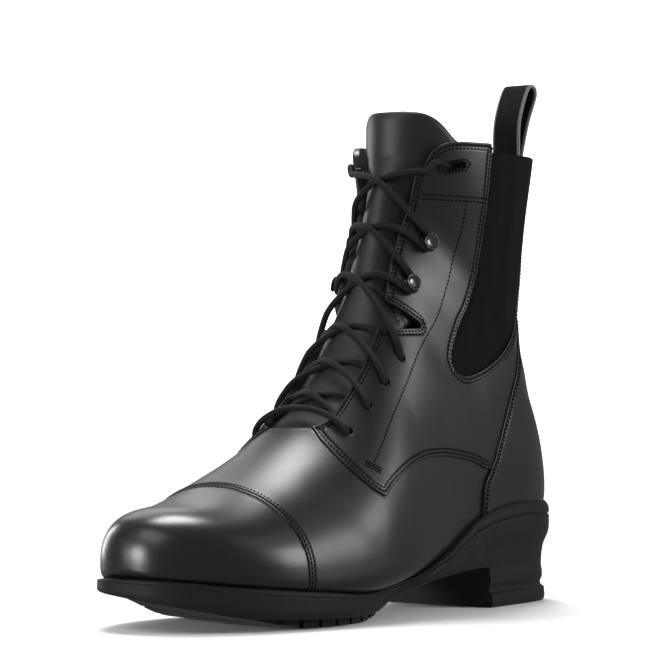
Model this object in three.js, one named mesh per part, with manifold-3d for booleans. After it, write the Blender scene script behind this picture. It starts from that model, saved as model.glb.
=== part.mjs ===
// Left paddock boot, seen as an assembly: moulded outsole, hollow leather upper, insole, tongue,
// two elastic gores, pull loop, lace and four lace hooks. Millimetres, +Z up, toe towards -Y,
// +X on the outer (lateral) side. The origin lies on the floor under the middle of the boot.
import * as THREE from 'three';
import { mergeVertices } from 'three/addons/utils/BufferGeometryUtils.js';
import Module from 'manifold-3d';

const wasm = await Module();
wasm.setup();

// Driving sizes of the last and the shaft
const BOOT_LENGTH = 300;
const BALL_WIDTH = 102;
const HEEL_WIDTH = 64;
const ANKLE_WIDTH = 60;
const COLLAR_WIDTH = 77;
const SEAT_HEIGHT = 36;
const TOE_BOX_HEIGHT = 60;
const INSTEP_HEIGHT = 117;
const SHAFT_HEIGHT = 228;

// Leather
const WALL = 2.2;
const OVERLAY_STEP = 0.8;
const COUNTER_STEP = 0.7;
const LASTING_MARGIN = 14;
const GAP = 0.3;

// Openings, panels and fittings of the upper
const QUARTER_TOP = 231;
const GORE_TOP = 226.5;
const FACING_CORNER = 12;
const THROAT_GAP = 34;
const EYELET_SETBACK = 9.6;
const EYELET_DIAMETER = 4.6;
const HOOK_SETBACK = 6;
const BUTTONHOLE_LENGTH = 10;
const BUTTONHOLE_WIDTH = 3.2;
const BUTTONHOLE_SETBACK = 10;
const BACK_STRIP_WIDTH = 24;
const GORE_THICKNESS = 1.6;
const GORE_RECESS = 0.6;

// Tongue and insole
const TONGUE_THICKNESS = 2;
const TONGUE_TOP = 246;
const TONGUE_CROWN = 33;
const TONGUE_HALF_WIDTH = 34;
const TONGUE_EASE = 4;
const INSOLE_THICKNESS = 3;

// Outsole
const RIM_PROUD = 3;
const CUP_WALL = 16.5;
const TOE_SPRING = 16.1;
const TOE_SKEW = 11;
const SKEW_SPAN = { lateral: [0.78, 0.94], medial: [0.70, 0.84] };
const BREAST_HEIGHT = 21;
const HEEL_LENGTH = 76;
const SIDE_LIFT = 4.2;
const TREAD_INSET = 4;
const TREAD_GROOVE_WIDTH = 3;
const TREAD_GROOVE_DEPTH = 2.2;
const TREAD_PITCH = 12;
const TREAD_LUGS = 6;
const HEEL_LUGS = 5;
const TREAD_REAR = 0.545;
const TREAD_FRONT = 0.89;
const HEEL_LIFT_HEIGHT = 7;
const FLUTE_DEPTH = 0.9;

// Lace, hooks and pull loop
const LACE_DIAMETER = 3.2;
const LACE_SIDES = 6;
const HOOK_DIAMETER = 8;
const HOOK_HEIGHT = 5.4;
const LOOP_WIDTH = 17;
const LOOP_THICKNESS = 1.6;
const LOOP_HEIGHT = 42;
const LOOP_OVERLAP = 14;
const LOOP_BELLY = 3.6;
const LOOP_LEAN = 16;

// Sampling of the curved forms
const RING_POINTS = 28;
const RIM_SEGMENTS = 30;
const LOOP_PIECES = 24;

const onVamp = (share) => TOE_BOX_HEIGHT + share * (INSTEP_HEIGHT - TOE_BOX_HEIGHT);
const onShaft = (share) => INSTEP_HEIGHT + share * (SHAFT_HEIGHT - INSTEP_HEIGHT);
const onBack = (share) => SEAT_HEIGHT + share * (SHAFT_HEIGHT - SEAT_HEIGHT);

// Turns rows with named columns into one list for each column.
function table(columns, rows) {
  const lists = {};
  columns.forEach((column, index) => {
    lists[column] = rows.map((row) => row[index]);
  });
  return lists;
}

// The last as a fan of sections, from the toe tip round the heel to above the collar. Each section
// runs from a low or rear point to a high or front point. "along" is measured from the heel.
const SECTIONS = table(
  ['lowAlong', 'lowUp', 'highAlong', 'highUp', 'lateral', 'medial',
    'swingLow', 'swingHigh', 'fullAt', 'lowRound', 'highRound'],
  [
    [0.991, 0.64 * SEAT_HEIGHT, 0.991, 1.01 * TOE_BOX_HEIGHT, 0.436 * BALL_WIDTH, 0.417 * BALL_WIDTH,
      -0.078, -0.088, 0.17, 3.4, 2.35],
    [0.945, 0.54 * SEAT_HEIGHT, 0.945, 0.94 * TOE_BOX_HEIGHT, 0.441 * BALL_WIDTH, 0.422 * BALL_WIDTH,
      -0.078, -0.088, 0.30, 3.6, 2.35],
    [0.850, 0.42 * SEAT_HEIGHT, 0.850, 0.975 * TOE_BOX_HEIGHT, 0.476 * BALL_WIDTH, 0.451 * BALL_WIDTH,
      -0.059, -0.088, 0.28, 4.0, 2.3],
    [0.740, 0.333 * SEAT_HEIGHT, 0.740, onVamp(0.18), 0.500 * BALL_WIDTH, 0.480 * BALL_WIDTH,
      -0.029, -0.088, 0.25, 4.5, 2.2],
    [0.633, 0.333 * SEAT_HEIGHT, 0.634, onVamp(0.50), 0.508 * BALL_WIDTH, 0.462 * BALL_WIDTH,
      0.0, -0.058, 0.24, 4.6, 2.1],
    [0.533, 0.417 * SEAT_HEIGHT, 0.546, onVamp(0.98), 0.465 * BALL_WIDTH, 0.408 * BALL_WIDTH,
      0.020, -0.025, 0.22, 4.6, 2.1],
    [0.417, 0.611 * SEAT_HEIGHT, 0.498, onShaft(0.205), 0.400 * BALL_WIDTH, 0.348 * BALL_WIDTH,
      0.029, -0.020, 0.23, 4.6, 2.1],
    [0.300, 0.806 * SEAT_HEIGHT, 0.474, onShaft(0.366), 0.559 * HEEL_WIDTH, 0.528 * HEEL_WIDTH,
      0.020, 0.0, 0.26, 4.0, 2.1],
    [0.167, 0.944 * SEAT_HEIGHT, 0.454, onShaft(0.50), 0.520 * HEEL_WIDTH, 0.520 * HEEL_WIDTH,
      0.010, 0.0, 0.30, 3.2, 2.1],
    [0.030, SEAT_HEIGHT, 0.438, onShaft(0.627), 0.500 * HEEL_WIDTH, 0.500 * HEEL_WIDTH,
      0.0, 0.0, 0.35, 2.6, 2.1],
    [0.002, onBack(0.115), 0.428, onShaft(0.736), 0.505 * ANKLE_WIDTH, 0.505 * ANKLE_WIDTH,
      0.0, 0.0, 0.40, 2.3, 2.1],
    [0.039, onBack(0.281), 0.421, onShaft(0.815), 0.488 * ANKLE_WIDTH, 0.488 * ANKLE_WIDTH,
      0.0, 0.0, 0.42, 2.2, 2.1],
    [0.081, onBack(0.490), 0.414, onShaft(0.885), 0.513 * ANKLE_WIDTH, 0.513 * ANKLE_WIDTH,
      0.0, 0.0, 0.44, 2.2, 2.1],
    [0.072, onBack(0.750), 0.409, onShaft(0.948), 0.458 * COLLAR_WIDTH, 0.458 * COLLAR_WIDTH,
      0.0, 0.0, 0.45, 2.2, 2.1],
    [0.049, onBack(0.995), 0.408, onShaft(1.0), 0.491 * COLLAR_WIDTH, 0.491 * COLLAR_WIDTH,
      0.0, 0.0, 0.46, 2.2, 2.1],
    [0.038, onBack(1.145), 0.407, onShaft(1.25), 0.505 * COLLAR_WIDTH, 0.505 * COLLAR_WIDTH,
      0.0, 0.0, 0.46, 2.2, 2.1],
  ],
);
const LAST_SECTION = SECTIONS.lowAlong.length - 1;
const TIP_ALONG = SECTIONS.lowAlong[0];
const ANKLE_STATION = 9;

// The toe's rounding starts at these shares of the length.
const TOE_ROUNDING = {
  width: { from: 0.787, power: 2.2 },
  top: { from: 0.893, power: 2.3 },
  bottom: { from: 0.930, power: 3.0 },
};

// Smooth curve through values at whole steps.
function through(values, at) {
  const last = values.length - 1;
  const index = Math.min(Math.floor(at), last - 1);
  const t = at - index;
  const rise = (k) => values[k + 1] - values[k];
  const slope = (k) => {
    if (k === 0) return rise(0);
    if (k === last) return rise(last - 1);
    return (rise(k - 1) + rise(k)) / 2;
  };
  const t2 = t * t;
  const t3 = t2 * t;
  return (2 * t3 - 3 * t2 + 1) * values[index] + (t3 - 2 * t2 + t) * slope(index)
    + (3 * t2 - 2 * t3) * values[index + 1] + (t3 - t2) * slope(index + 1);
}

// Smooth curve through rows of a share and a value.
function follow(rows, share) {
  let index = 0;
  while (index < rows.length - 2 && share > rows[index + 1][0]) index += 1;
  const [from, low] = rows[index];
  const [to, high] = rows[index + 1];
  const t = THREE.MathUtils.clamp((share - from) / (to - from), 0, 1);
  const rise = (k) => (rows[k + 1][1] - rows[k][1]) / (rows[k + 1][0] - rows[k][0]);
  const slope = (k) => {
    if (k === 0) return rise(0);
    if (k === rows.length - 1) return rise(k - 1);
    return (rise(k - 1) + rise(k)) / 2;
  };
  const width = to - from;
  const t2 = t * t;
  const t3 = t2 * t;
  return (2 * t3 - 3 * t2 + 1) * low + (t3 - 2 * t2 + t) * slope(index) * width
    + (3 * t2 - 2 * t3) * high + (t3 - t2) * slope(index + 1) * width;
}

function toeRound(along, rounding) {
  const q = THREE.MathUtils.clamp((along - rounding.from) / (TIP_ALONG - rounding.from), 0, 1);
  return (1 - q ** rounding.power) ** (1 / rounding.power);
}

function sectionAt(station) {
  const row = {};
  for (const column of Object.keys(SECTIONS)) row[column] = through(SECTIONS[column], station);
  const middle = row.lowUp + row.fullAt * (row.highUp - row.lowUp);
  if (row.lowAlong > TOE_ROUNDING.width.from) {
    const narrow = toeRound(row.lowAlong, TOE_ROUNDING.width);
    row.lateral *= narrow;
    row.medial *= narrow;
    row.highUp = middle + (row.highUp - middle) * toeRound(row.lowAlong, TOE_ROUNDING.top);
    row.lowUp = middle + (row.lowUp - middle) * toeRound(row.lowAlong, TOE_ROUNDING.bottom);
  }
  return row;
}

// A point of the last. The turn is 0 at the low point, PI at the high one, and positive laterally.
function lastPoint(station, turn) {
  const row = sectionAt(station);
  const angle = Math.abs(turn);
  const round = angle <= Math.PI / 2 ? row.lowRound : row.highRound;
  const rise = Math.abs(Math.cos(angle)) ** (2 / round);
  const reach = Math.abs(Math.sin(angle)) ** (2 / round);
  const t = angle <= Math.PI / 2 ? row.fullAt * (1 - rise) : row.fullAt + (1 - row.fullAt) * rise;
  const half = turn > 0 ? row.lateral : -row.medial;
  const swing = (row.swingLow + (row.swingHigh - row.swingLow) * t ** 1.5) * BALL_WIDTH;
  const along = row.lowAlong + (row.highAlong - row.lowAlong) * t;
  return new THREE.Vector3(swing + half * reach, -along * BOOT_LENGTH,
    row.lowUp + (row.highUp - row.lowUp) * t);
}

const TOEWARD = new THREE.Vector3(0, -1, 0);

function lastNormal(station, turn) {
  if (station <= 0) return TOEWARD.clone();
  const step = 0.01;
  const forward = lastPoint(Math.min(station + step, LAST_SECTION), turn)
    .sub(lastPoint(Math.max(station - step, 0.001), turn));
  const wrap = (value) => (value > Math.PI ? value - 2 * Math.PI : value);
  const unwrap = (value) => (value < -Math.PI ? value + 2 * Math.PI : value);
  const around = lastPoint(station, wrap(turn + step)).sub(lastPoint(station, unwrap(turn - step)));
  return forward.cross(around).normalize();
}

function offLast(station, turn, offset) {
  return lastPoint(station, turn).addScaledVector(lastNormal(station, turn), offset);
}

// The turn at which a section is a given distance beside its crest, positive laterally.
function turnBeside(station, distance) {
  const row = sectionAt(station);
  const half = distance > 0 ? row.lateral : row.medial;
  const reach = Math.min(Math.abs(distance) / half, 1);
  const turn = Math.PI - Math.asin(reach ** (row.highRound / 2));
  return distance < 0 ? -turn : turn;
}

// Solids
function solid(points, triangles) {
  const vertProperties = new Float32Array(points.flatMap((p) => [p.x, p.y, p.z]));
  const mesh = new wasm.Mesh({ numProp: 3, vertProperties, triVerts: new Uint32Array(triangles) });
  return new wasm.Manifold(mesh);
}

function solidFrom(geometry) {
  const bare = geometry.index ? geometry.toNonIndexed() : geometry.clone();
  bare.deleteAttribute('normal');
  bare.deleteAttribute('uv');
  const merged = mergeVertices(bare, 0.0001);
  const vertProperties = new Float32Array(merged.attributes.position.array);
  const triVerts = new Uint32Array(merged.index.array);
  return new wasm.Manifold(new wasm.Mesh({ numProp: 3, vertProperties, triVerts }));
}

function geometryOf(body) {
  const mesh = body.getMesh();
  const geometry = new THREE.BufferGeometry();
  geometry.setAttribute('position', new THREE.BufferAttribute(mesh.vertProperties, 3));
  geometry.setIndex(new THREE.BufferAttribute(mesh.triVerts, 1));
  geometry.computeVertexNormals();
  return geometry;
}

// Skin over a list of closed rings, closed by fans to one point at each end.
function skin(rings, firstPoint, lastRingPoint) {
  const count = rings[0].length;
  const points = rings.flat();
  const triangles = [];
  for (let ring = 0; ring < rings.length - 1; ring += 1) {
    for (let k = 0; k < count; k += 1) {
      const a = ring * count + k;
      const b = ring * count + ((k + 1) % count);
      triangles.push(a, b, a + count, b, b + count, a + count);
    }
  }
  const start = points.push(firstPoint) - 1;
  const end = points.push(lastRingPoint) - 1;
  const top = (rings.length - 1) * count;
  for (let k = 0; k < count; k += 1) {
    const next = (k + 1) % count;
    triangles.push(next, k, start, top + k, top + next, end);
  }
  return outward(points, triangles);
}

// Turns the faces round where they point inwards.
function outward(points, triangles) {
  let volume = 0;
  for (let k = 0; k < triangles.length; k += 3) {
    const [a, b, c] = [points[triangles[k]], points[triangles[k + 1]], points[triangles[k + 2]]];
    volume += a.dot(b.clone().cross(c));
  }
  return solid(points, volume < 0 ? triangles.reverse() : triangles);
}

function spread(from, to, steps) {
  return Array.from({ length: steps + 1 }, (_, k) => from + ((to - from) * k) / steps);
}

// Stations lie closer together at the toe tip.
const STATIONS = [
  ...spread(0, 1, 5).slice(1).map((share) => share ** 1.9),
  ...spread(1, LAST_SECTION, 16).slice(1),
];
const TURNS = spread(-Math.PI, Math.PI, RING_POINTS).slice(1);

const forms = new Map();

// The last moved out (or in, for a negative offset) along its own normals. The ease moves it
// further in from the ankle's station to the top.
function form(offset, ease = 0) {
  const key = `${offset} ${ease}`;
  if (!forms.has(key)) {
    const rings = STATIONS.map((station) => {
      const eased = offset - ease * THREE.MathUtils.smoothstep(station, ANKLE_STATION, LAST_SECTION);
      return TURNS.map((turn) => offLast(station, turn, eased));
    });
    const tip = offLast(0, 0, offset);
    const end = rings[rings.length - 1]
      .reduce((sum, point) => sum.add(point), new THREE.Vector3()).divideScalar(RING_POINTS);
    forms.set(key, skin(rings, tip, end));
  }
  return forms.get(key);
}

// A curved plate between two offsets of the last, from edge to edge at each station.
function plate(stations, edges, inner, outer, across) {
  const rings = stations.map((station) => {
    const [left, right] = edges(station);
    const turns = spread(left, right, across).map((side) => turnBeside(station, side));
    return [
      ...turns.map((turn) => offLast(station, turn, outer)),
      ...turns.reverse().map((turn) => offLast(station, turn, inner)),
    ];
  });
  const count = rings[0].length;
  const points = rings.flat();
  const triangles = [];
  for (let ring = 0; ring < rings.length - 1; ring += 1) {
    for (let k = 0; k < count; k += 1) {
      const a = ring * count + k;
      const b = ring * count + ((k + 1) % count);
      triangles.push(a, b, a + count, b, b + count, a + count);
    }
  }
  const top = (rings.length - 1) * count;
  for (let k = 0; k < across; k += 1) {
    const back = count - 1 - k;
    triangles.push(k + 1, k, back, k + 1, back, back - 1);
    triangles.push(top + k, top + k + 1, top + back, top + k + 1, top + back - 1, top + back);
  }
  return outward(points, triangles);
}

// Prism across the boot of an outline of [share along, height] points.
function sidePrism(outline, from = -BALL_WIDTH, to = BALL_WIDTH) {
  const shape = new THREE.Shape(outline.map(([along, up]) => new THREE.Vector2(-along * BOOT_LENGTH, up)));
  const geometry = new THREE.ExtrudeGeometry(shape, { depth: to - from, bevelEnabled: false });
  geometry.translate(0, 0, from);
  const [x, y, z] = [new THREE.Vector3(1, 0, 0), new THREE.Vector3(0, 1, 0), new THREE.Vector3(0, 0, 1)];
  geometry.applyMatrix4(new THREE.Matrix4().makeBasis(y, z, x));
  return solidFrom(geometry);
}

// Upright prism of an outline of Vector2 points seen from above.
function planPrism(outline, from, to) {
  const geometry = new THREE.ExtrudeGeometry(new THREE.Shape(outline),
    { depth: to - from, bevelEnabled: false });
  geometry.translate(0, 0, from);
  return solidFrom(geometry);
}

function block(low, high) {
  const size = high.clone().sub(low);
  const geometry = new THREE.BoxGeometry(size.x, size.y, size.z);
  geometry.translate(...low.clone().add(high).divideScalar(2));
  return solidFrom(geometry);
}

// Smooth line through [share along, height] points.
function smooth(points, pieces) {
  const curve = new THREE.SplineCurve(points.map(([a, b]) => new THREE.Vector2(a * BOOT_LENGTH, b)));
  return curve.getPoints(pieces).map((point) => [point.x / BOOT_LENGTH, point.y]);
}

// Moves a side outline's line to the right of its direction by a distance.
function shifted(line, distance) {
  return line.map(([along, up], index) => {
    const before = line[Math.max(index - 1, 0)];
    const after = line[Math.min(index + 1, line.length - 1)];
    const run = new THREE.Vector2((after[0] - before[0]) * BOOT_LENGTH, after[1] - before[1]).normalize();
    return [along + (run.y * distance) / BOOT_LENGTH, up - run.x * distance];
  });
}

// Seams of the upper, seen from the side, as shares of the length and heights on the last
const seatShare = (share) => share * SEAT_HEIGHT;

const QUARTER_FRONT = [
  [0.603, onVamp(0.62)], [0.612, onVamp(0.585)], [0.620, onVamp(0.52)], [0.630, onVamp(0.42)],
  [0.633, onVamp(0.29)], [0.627, onVamp(0.165)], [0.614, onVamp(0.06)], [0.592, onVamp(-0.02)],
];
const QUARTER_ARCH = [
  [0.592, onVamp(-0.02)], [0.558, onVamp(0.10)], [0.512, onVamp(0.215)], [0.458, onVamp(0.282)],
  [0.399, onVamp(0.291)], [0.337, onVamp(0.259)], [0.288, onVamp(0.207)], [0.240, onVamp(0.13)],
];
const COUNTER_SEAM = [
  [0.283, seatShare(0.75)], [0.279, seatShare(1.6)], [0.253, onBack(0.174)], [0.223, onBack(0.247)],
  [0.192, onBack(0.327)], [0.156, onBack(0.430)], [0.127, onBack(0.515)], [0.100, onBack(0.595)],
  [0.075, onBack(0.68)], [0.055, onBack(0.76)],
];
const GORE_FRONT = [
  [0.257, onBack(1.08)], [0.260, onBack(0.99)], [0.262, onBack(0.84)], [0.263, onBack(0.75)],
  [0.268, onBack(0.665)], [0.285, onBack(0.598)], [0.311, onBack(0.545)], [0.333, onBack(0.495)],
  [0.342, onBack(0.455)], [0.334, onBack(0.427)], [0.308, onBack(0.413)],
];
const GORE_REAR = [
  [0.308, onBack(0.413)], [0.268, onBack(0.424)], [0.228, onBack(0.448)], [0.189, onBack(0.483)],
  [0.155, onBack(0.535)], [0.133, onBack(0.60)], [0.112, onBack(0.68)], [0.095, onBack(0.76)],
  [0.070, onBack(0.86)], [0.030, onBack(0.95)], [-0.05, onBack(1.08)],
];

// Half gap between the facings, as a share of the throat gap, at stations up the throat
const FACING_EDGE = [
  [4.3, 0.555], [4.9, 0.537], [5.4, 0.533], [6.3, 0.500], [7.1, 0.453], [8.2, 0.385], [9.2, 0.382],
  [10.3, 0.418], [12.0, 0.488], [13.7, 0.606], [15.0, 0.700],
];
const THROAT_FOOT = { start: 4.08, full: 4.4 };
const facingEdge = (station) => THROAT_GAP * follow(FACING_EDGE, station);

function vampRegion(clearance) {
  const half = BALL_WIDTH;
  const seam = new THREE.SplineCurve([
    [0.62, 0.762], [0.45, 0.777], [0.32, 0.788], [0.16, 0.790], [0.0, 0.788], [-0.12, 0.786],
    [-0.26, 0.788], [-0.40, 0.788], [-0.52, 0.777], [-0.66, 0.762],
  ].map(([side, along]) => new THREE.Vector2(side * BALL_WIDTH, -along * BOOT_LENGTH - clearance)));
  const back = BOOT_LENGTH;
  return planPrism([...seam.getPoints(11), new THREE.Vector2(-half, back), new THREE.Vector2(half, back)],
    -SEAT_HEIGHT, 2 * SHAFT_HEIGHT);
}

function quarterRegion(clearance) {
  const edge = [...smooth(QUARTER_FRONT, 7), ...smooth(QUARTER_ARCH, 7).slice(1)];
  return sidePrism([
    [0.56, 2 * SHAFT_HEIGHT], ...shifted(edge, -clearance), [-0.2, onVamp(-0.1)], [-0.2, 2 * SHAFT_HEIGHT],
  ]);
}

function backStrip(clearance) {
  const half = BACK_STRIP_WIDTH / 2 + clearance;
  return block(new THREE.Vector3(-half, -0.2 * BOOT_LENGTH, onBack(0.1)),
    new THREE.Vector3(half, BOOT_LENGTH, 2 * SHAFT_HEIGHT));
}

function counterRegion(clearance) {
  const seam = shifted(smooth(COUNTER_SEAM, 8), clearance);
  const panel = sidePrism([[-0.2, seatShare(0.75)], ...seam, [-0.2, onBack(0.80)]]);
  return panel.add(backStrip(clearance));
}

// The closed outer form of the upper with its overlays, moved out by a clearance.
function outerForm(clearance) {
  const cap = form(clearance - OVERLAY_STEP);
  const vamp = form(clearance).intersect(vampRegion(clearance));
  const quarters = form(clearance + OVERLAY_STEP).intersect(quarterRegion(clearance));
  const counter = form(clearance + OVERLAY_STEP + COUNTER_STEP).intersect(counterRegion(clearance));
  return cap.add(vamp).add(quarters).add(counter);
}

function throatCutter() {
  const { start, full } = THROAT_FOOT;
  const stations = [...spread(start + 0.005, full, 4), ...spread(full, LAST_SECTION, 14).slice(1)];
  const edges = (station) => {
    const rise = THREE.MathUtils.clamp((full - station) / (full - start), 0, 1);
    const half = facingEdge(Math.max(station, full)) * Math.sqrt(1 - rise * rise);
    return [-half, half];
  };
  return plate(stations, edges, -3 * WALL, 3 * WALL, 4);
}

// The V cut in both facings where the boot bends at the ankle
function notchCutter() {
  return sidePrism([[0.53, onShaft(0.184)], [0.409, onShaft(0.195)], [0.402, onShaft(0.212)],
    [0.462, onShaft(0.318)], [0.53, onShaft(0.40)]]);
}

// Cuts away what stands above the quarters' and the gores' top edges.
function collarCutter() {
  const gore = GORE_FRONT[1][0];
  const high = 2 * SHAFT_HEIGHT;
  const below = (share) => QUARTER_TOP - share * FACING_CORNER;
  const front = smooth([[0.322, below(0)], [0.349, below(0.1)], [0.367, below(0.42)], [0.376, below(1)]], 5);
  return sidePrism([[-0.2, high], [-0.2, GORE_TOP], [gore - 0.004, GORE_TOP], [gore + 0.004, QUARTER_TOP],
    ...front, [0.6, below(1)], [0.6, high]]);
}

function goreWindow(clearance) {
  const outline = [...smooth(GORE_FRONT, 11), ...smooth(GORE_REAR, 9).slice(1)];
  return sidePrism(shifted(outline, clearance)).subtract(backStrip(clearance));
}

// Cylinder along the last's normal, from inside the wall to outside it
function pin(station, beside, diameter, from, to) {
  const turn = turnBeside(station, beside);
  const geometry = new THREE.CylinderGeometry(diameter / 2, diameter / 2, to - from, 8);
  const normal = lastNormal(station, turn);
  geometry.applyQuaternion(new THREE.Quaternion().setFromUnitVectors(new THREE.Vector3(0, 1, 0), normal));
  geometry.translate(...lastPoint(station, turn).addScaledVector(normal, (from + to) / 2));
  return solidFrom(geometry);
}

const EYELET_STATIONS = [4.40, 4.93, 5.57, 6.40];
const HOOK_STATIONS = [8.22, 10.12];
const BUTTONHOLE_STATION = 13.42;
const SIDES = [['lateral', 1], ['medial', -1]];

// Long hole with tapered ends in the top band of one facing
function buttonhole(side) {
  const middle = facingEdge(BUTTONHOLE_STATION) + BUTTONHOLE_SETBACK;
  const turn = turnBeside(BUTTONHOLE_STATION, middle);
  const rise = lastPoint(BUTTONHOLE_STATION + 0.5, turn)
    .distanceTo(lastPoint(BUTTONHOLE_STATION - 0.5, turn));
  const half = BUTTONHOLE_WIDTH / rise / 2;
  const edges = (station) => {
    const taper = BUTTONHOLE_WIDTH * Math.abs(station - BUTTONHOLE_STATION) / half / 2;
    const reach = BUTTONHOLE_LENGTH / 2 - taper;
    return [side * middle - reach, side * middle + reach];
  };
  const stations = spread(BUTTONHOLE_STATION - half, BUTTONHOLE_STATION + half, 2);
  return plate(stations, edges, -2 * WALL, 2 * WALL, 1);
}

function upper() {
  let body = outerForm(0).subtract(form(-WALL));
  const opening = rimLine(-LASTING_MARGIN).filter((_, k) => k % 2 === 0);
  body = body.subtract(planPrism(opening, -SEAT_HEIGHT, 1.2 * SEAT_HEIGHT));
  body = body.subtract(throatCutter()).subtract(notchCutter()).subtract(collarCutter());
  body = body.subtract(goreWindow(0));
  for (const [, side] of SIDES) {
    for (const station of EYELET_STATIONS) {
      const beside = side * (facingEdge(station) + EYELET_SETBACK);
      body = body.subtract(pin(station, beside, EYELET_DIAMETER, -2 * WALL, 2 * WALL));
    }
    body = body.subtract(buttonhole(side));
  }
  return body;
}

function gore(side) {
  const outer = OVERLAY_STEP - GORE_RECESS;
  const sheet = form(outer).subtract(form(outer - GORE_THICKNESS));
  const reach = side * BALL_WIDTH;
  const half = block(new THREE.Vector3(Math.min(0, reach), -BOOT_LENGTH, 0),
    new THREE.Vector3(Math.max(0, reach), BOOT_LENGTH, GORE_TOP));
  return sheet.intersect(goreWindow(GAP)).intersect(half);
}

function tongue() {
  const outer = -WALL - GAP;
  const halfWidth = [[4.05, 0.56], [6, 0.68], [8, 0.70], [11, 0.80], [13, 0.96], [15, 1.0]];
  const stations = spread(halfWidth[0][0], LAST_SECTION, 8);
  const edges = (station) => {
    const half = TONGUE_HALF_WIDTH * follow(halfWidth, station);
    return [-half, half];
  };
  const reach = plate(stations, edges, outer - TONGUE_EASE - 2 * TONGUE_THICKNESS, WALL, 4);
  const sheet = form(outer, TONGUE_EASE).subtract(form(outer - TONGUE_THICKNESS, TONGUE_EASE))
    .intersect(reach);
  const crown = new THREE.SplineCurve([
    [-0.96, 0.62], [-0.75, 0.84], [-0.41, 0.98], [0, 1], [0.38, 0.99], [0.53, 0.96], [0.65, 0.86],
    [0.72, 0.745], [0.79, 0.545], [0.96, 0.10],
  ].map(([side, share]) => new THREE.Vector2(side * TONGUE_HALF_WIDTH,
    TONGUE_TOP - TONGUE_CROWN + share * TONGUE_CROWN)));
  const outline = [...crown.getPoints(16), new THREE.Vector2(BALL_WIDTH, SHAFT_HEIGHT),
    new THREE.Vector2(BALL_WIDTH, 2 * SHAFT_HEIGHT), new THREE.Vector2(-BALL_WIDTH, 2 * SHAFT_HEIGHT),
    new THREE.Vector2(-BALL_WIDTH, SHAFT_HEIGHT)];
  const geometry = new THREE.ExtrudeGeometry(new THREE.Shape(outline),
    { depth: 2 * BOOT_LENGTH, bevelEnabled: false });
  geometry.rotateX(Math.PI / 2);
  geometry.translate(0, BOOT_LENGTH, 0);
  return sheet.subtract(solidFrom(geometry));
}

// Height of the last's underside at a share of the length
function bedHeight(along) {
  const rows = SECTIONS.lowAlong.slice(1, 10).map((share, k) => [share, SECTIONS.lowUp[k + 1]]).reverse();
  return follow(rows, THREE.MathUtils.clamp(along, rows[0][0], rows[rows.length - 1][0]));
}

function insole() {
  const lift = WALL + GAP + INSOLE_THICKNESS;
  const top = spread(-0.02, 1.02, 30).map((along) => [along, bedHeight(along) + lift]);
  const below = [[1.02, -SEAT_HEIGHT], [-0.02, -SEAT_HEIGHT]];
  return form(-WALL - GAP).intersect(sidePrism([...top, ...below]));
}

// How far the outsole's rim stands above the last's underside, as a share of the cup's wall
const RIM_LIFT = [
  [0, 0.92], [0.06, 0.93], [0.15, 1.05], [0.22, 1.06], [0.30, 0.92], [0.36, 0.63], [0.417, 0.36],
  [0.467, 0.16], [0.533, 0.05], [0.633, 0.13], [0.74, 0.27], [0.85, 0.25], [0.945, 0.20], [1, 0.34],
];
const rimHeight = (along) => bedHeight(along) + CUP_WALL * follow(RIM_LIFT, along);

// Lower edge of the outsole's side, as shares of toe spring, forepart lift and breast height
const SIDE_EDGE = [
  [0, 0.9 * BREAST_HEIGHT], [0.20, 0.95 * BREAST_HEIGHT], [0.30, 0.96 * BREAST_HEIGHT],
  [0.37, 0.90 * BREAST_HEIGHT], [0.427, 0.82 * BREAST_HEIGHT], [0.467, 0.70 * BREAST_HEIGHT],
  [0.51, 0.40 * BREAST_HEIGHT + 0.6 * SIDE_LIFT], [0.555, 1.4 * SIDE_LIFT], [0.62, SIDE_LIFT],
  [0.73, SIDE_LIFT], [0.80, 0.33 * TOE_SPRING], [0.87, 0.55 * TOE_SPRING], [0.92, 0.77 * TOE_SPRING],
  [0.95, 0.87 * TOE_SPRING], [1, TOE_SPRING],
];

// The lower edge under a plan point: at the toe it rises towards the medial side, where the toe
// spring also starts sooner
function sideEdge(point) {
  const along = -point.y / BOOT_LENGTH;
  const beside = point.x / BALL_WIDTH - SECTIONS.swingLow[0];
  const [from, to] = beside > 0 ? SKEW_SPAN.lateral : SKEW_SPAN.medial;
  return follow(SIDE_EDGE, along) - TOE_SKEW * THREE.MathUtils.smoothstep(along, from, to) * beside;
}

// Where the last meets the rim's height on one side of a station, or null where it lies above it
function rimTurn(station, side) {
  const above = (turn) => {
    const point = lastPoint(station, side * turn);
    return point.z - rimHeight(-point.y / BOOT_LENGTH);
  };
  if (above(0.0001) > 0) return null;
  let [low, high] = [0.0001, 0.6 * Math.PI];
  for (let pass = 0; pass < 30; pass += 1) {
    const middle = (low + high) / 2;
    if (above(middle) > 0) high = middle;
    else low = middle;
  }
  return low;
}

// Plan points of one side of the rim, from toe to heel, at even distances
function rimSide(side) {
  const points = spread(0.0005, 1, 60).map((share) => share ** 2)
    .concat(spread(1, 10, 140).slice(1))
    .map((station) => [station, rimTurn(station, side)])
    .filter(([, turn]) => turn !== null)
    .map(([station, turn]) => lastPoint(station, side * turn))
    .map((point) => new THREE.Vector2(point.x, point.y));
  const swing = (points[0].x + SECTIONS.swingLow[0] * BALL_WIDTH) / 2;
  points[0].x = swing;
  points[points.length - 1].x = 0;
  const lengths = [0];
  for (let k = 1; k < points.length; k += 1) {
    lengths.push(lengths[k - 1] + points[k].distanceTo(points[k - 1]));
  }
  const total = lengths[lengths.length - 1];
  let at = 0;
  return spread(0, total, RIM_SEGMENTS).map((length) => {
    while (at < points.length - 2 && lengths[at + 1] < length) at += 1;
    const share = (length - lengths[at]) / (lengths[at + 1] - lengths[at]);
    return points[at].clone().lerp(points[at + 1], THREE.MathUtils.clamp(share, 0, 1));
  });
}

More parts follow.
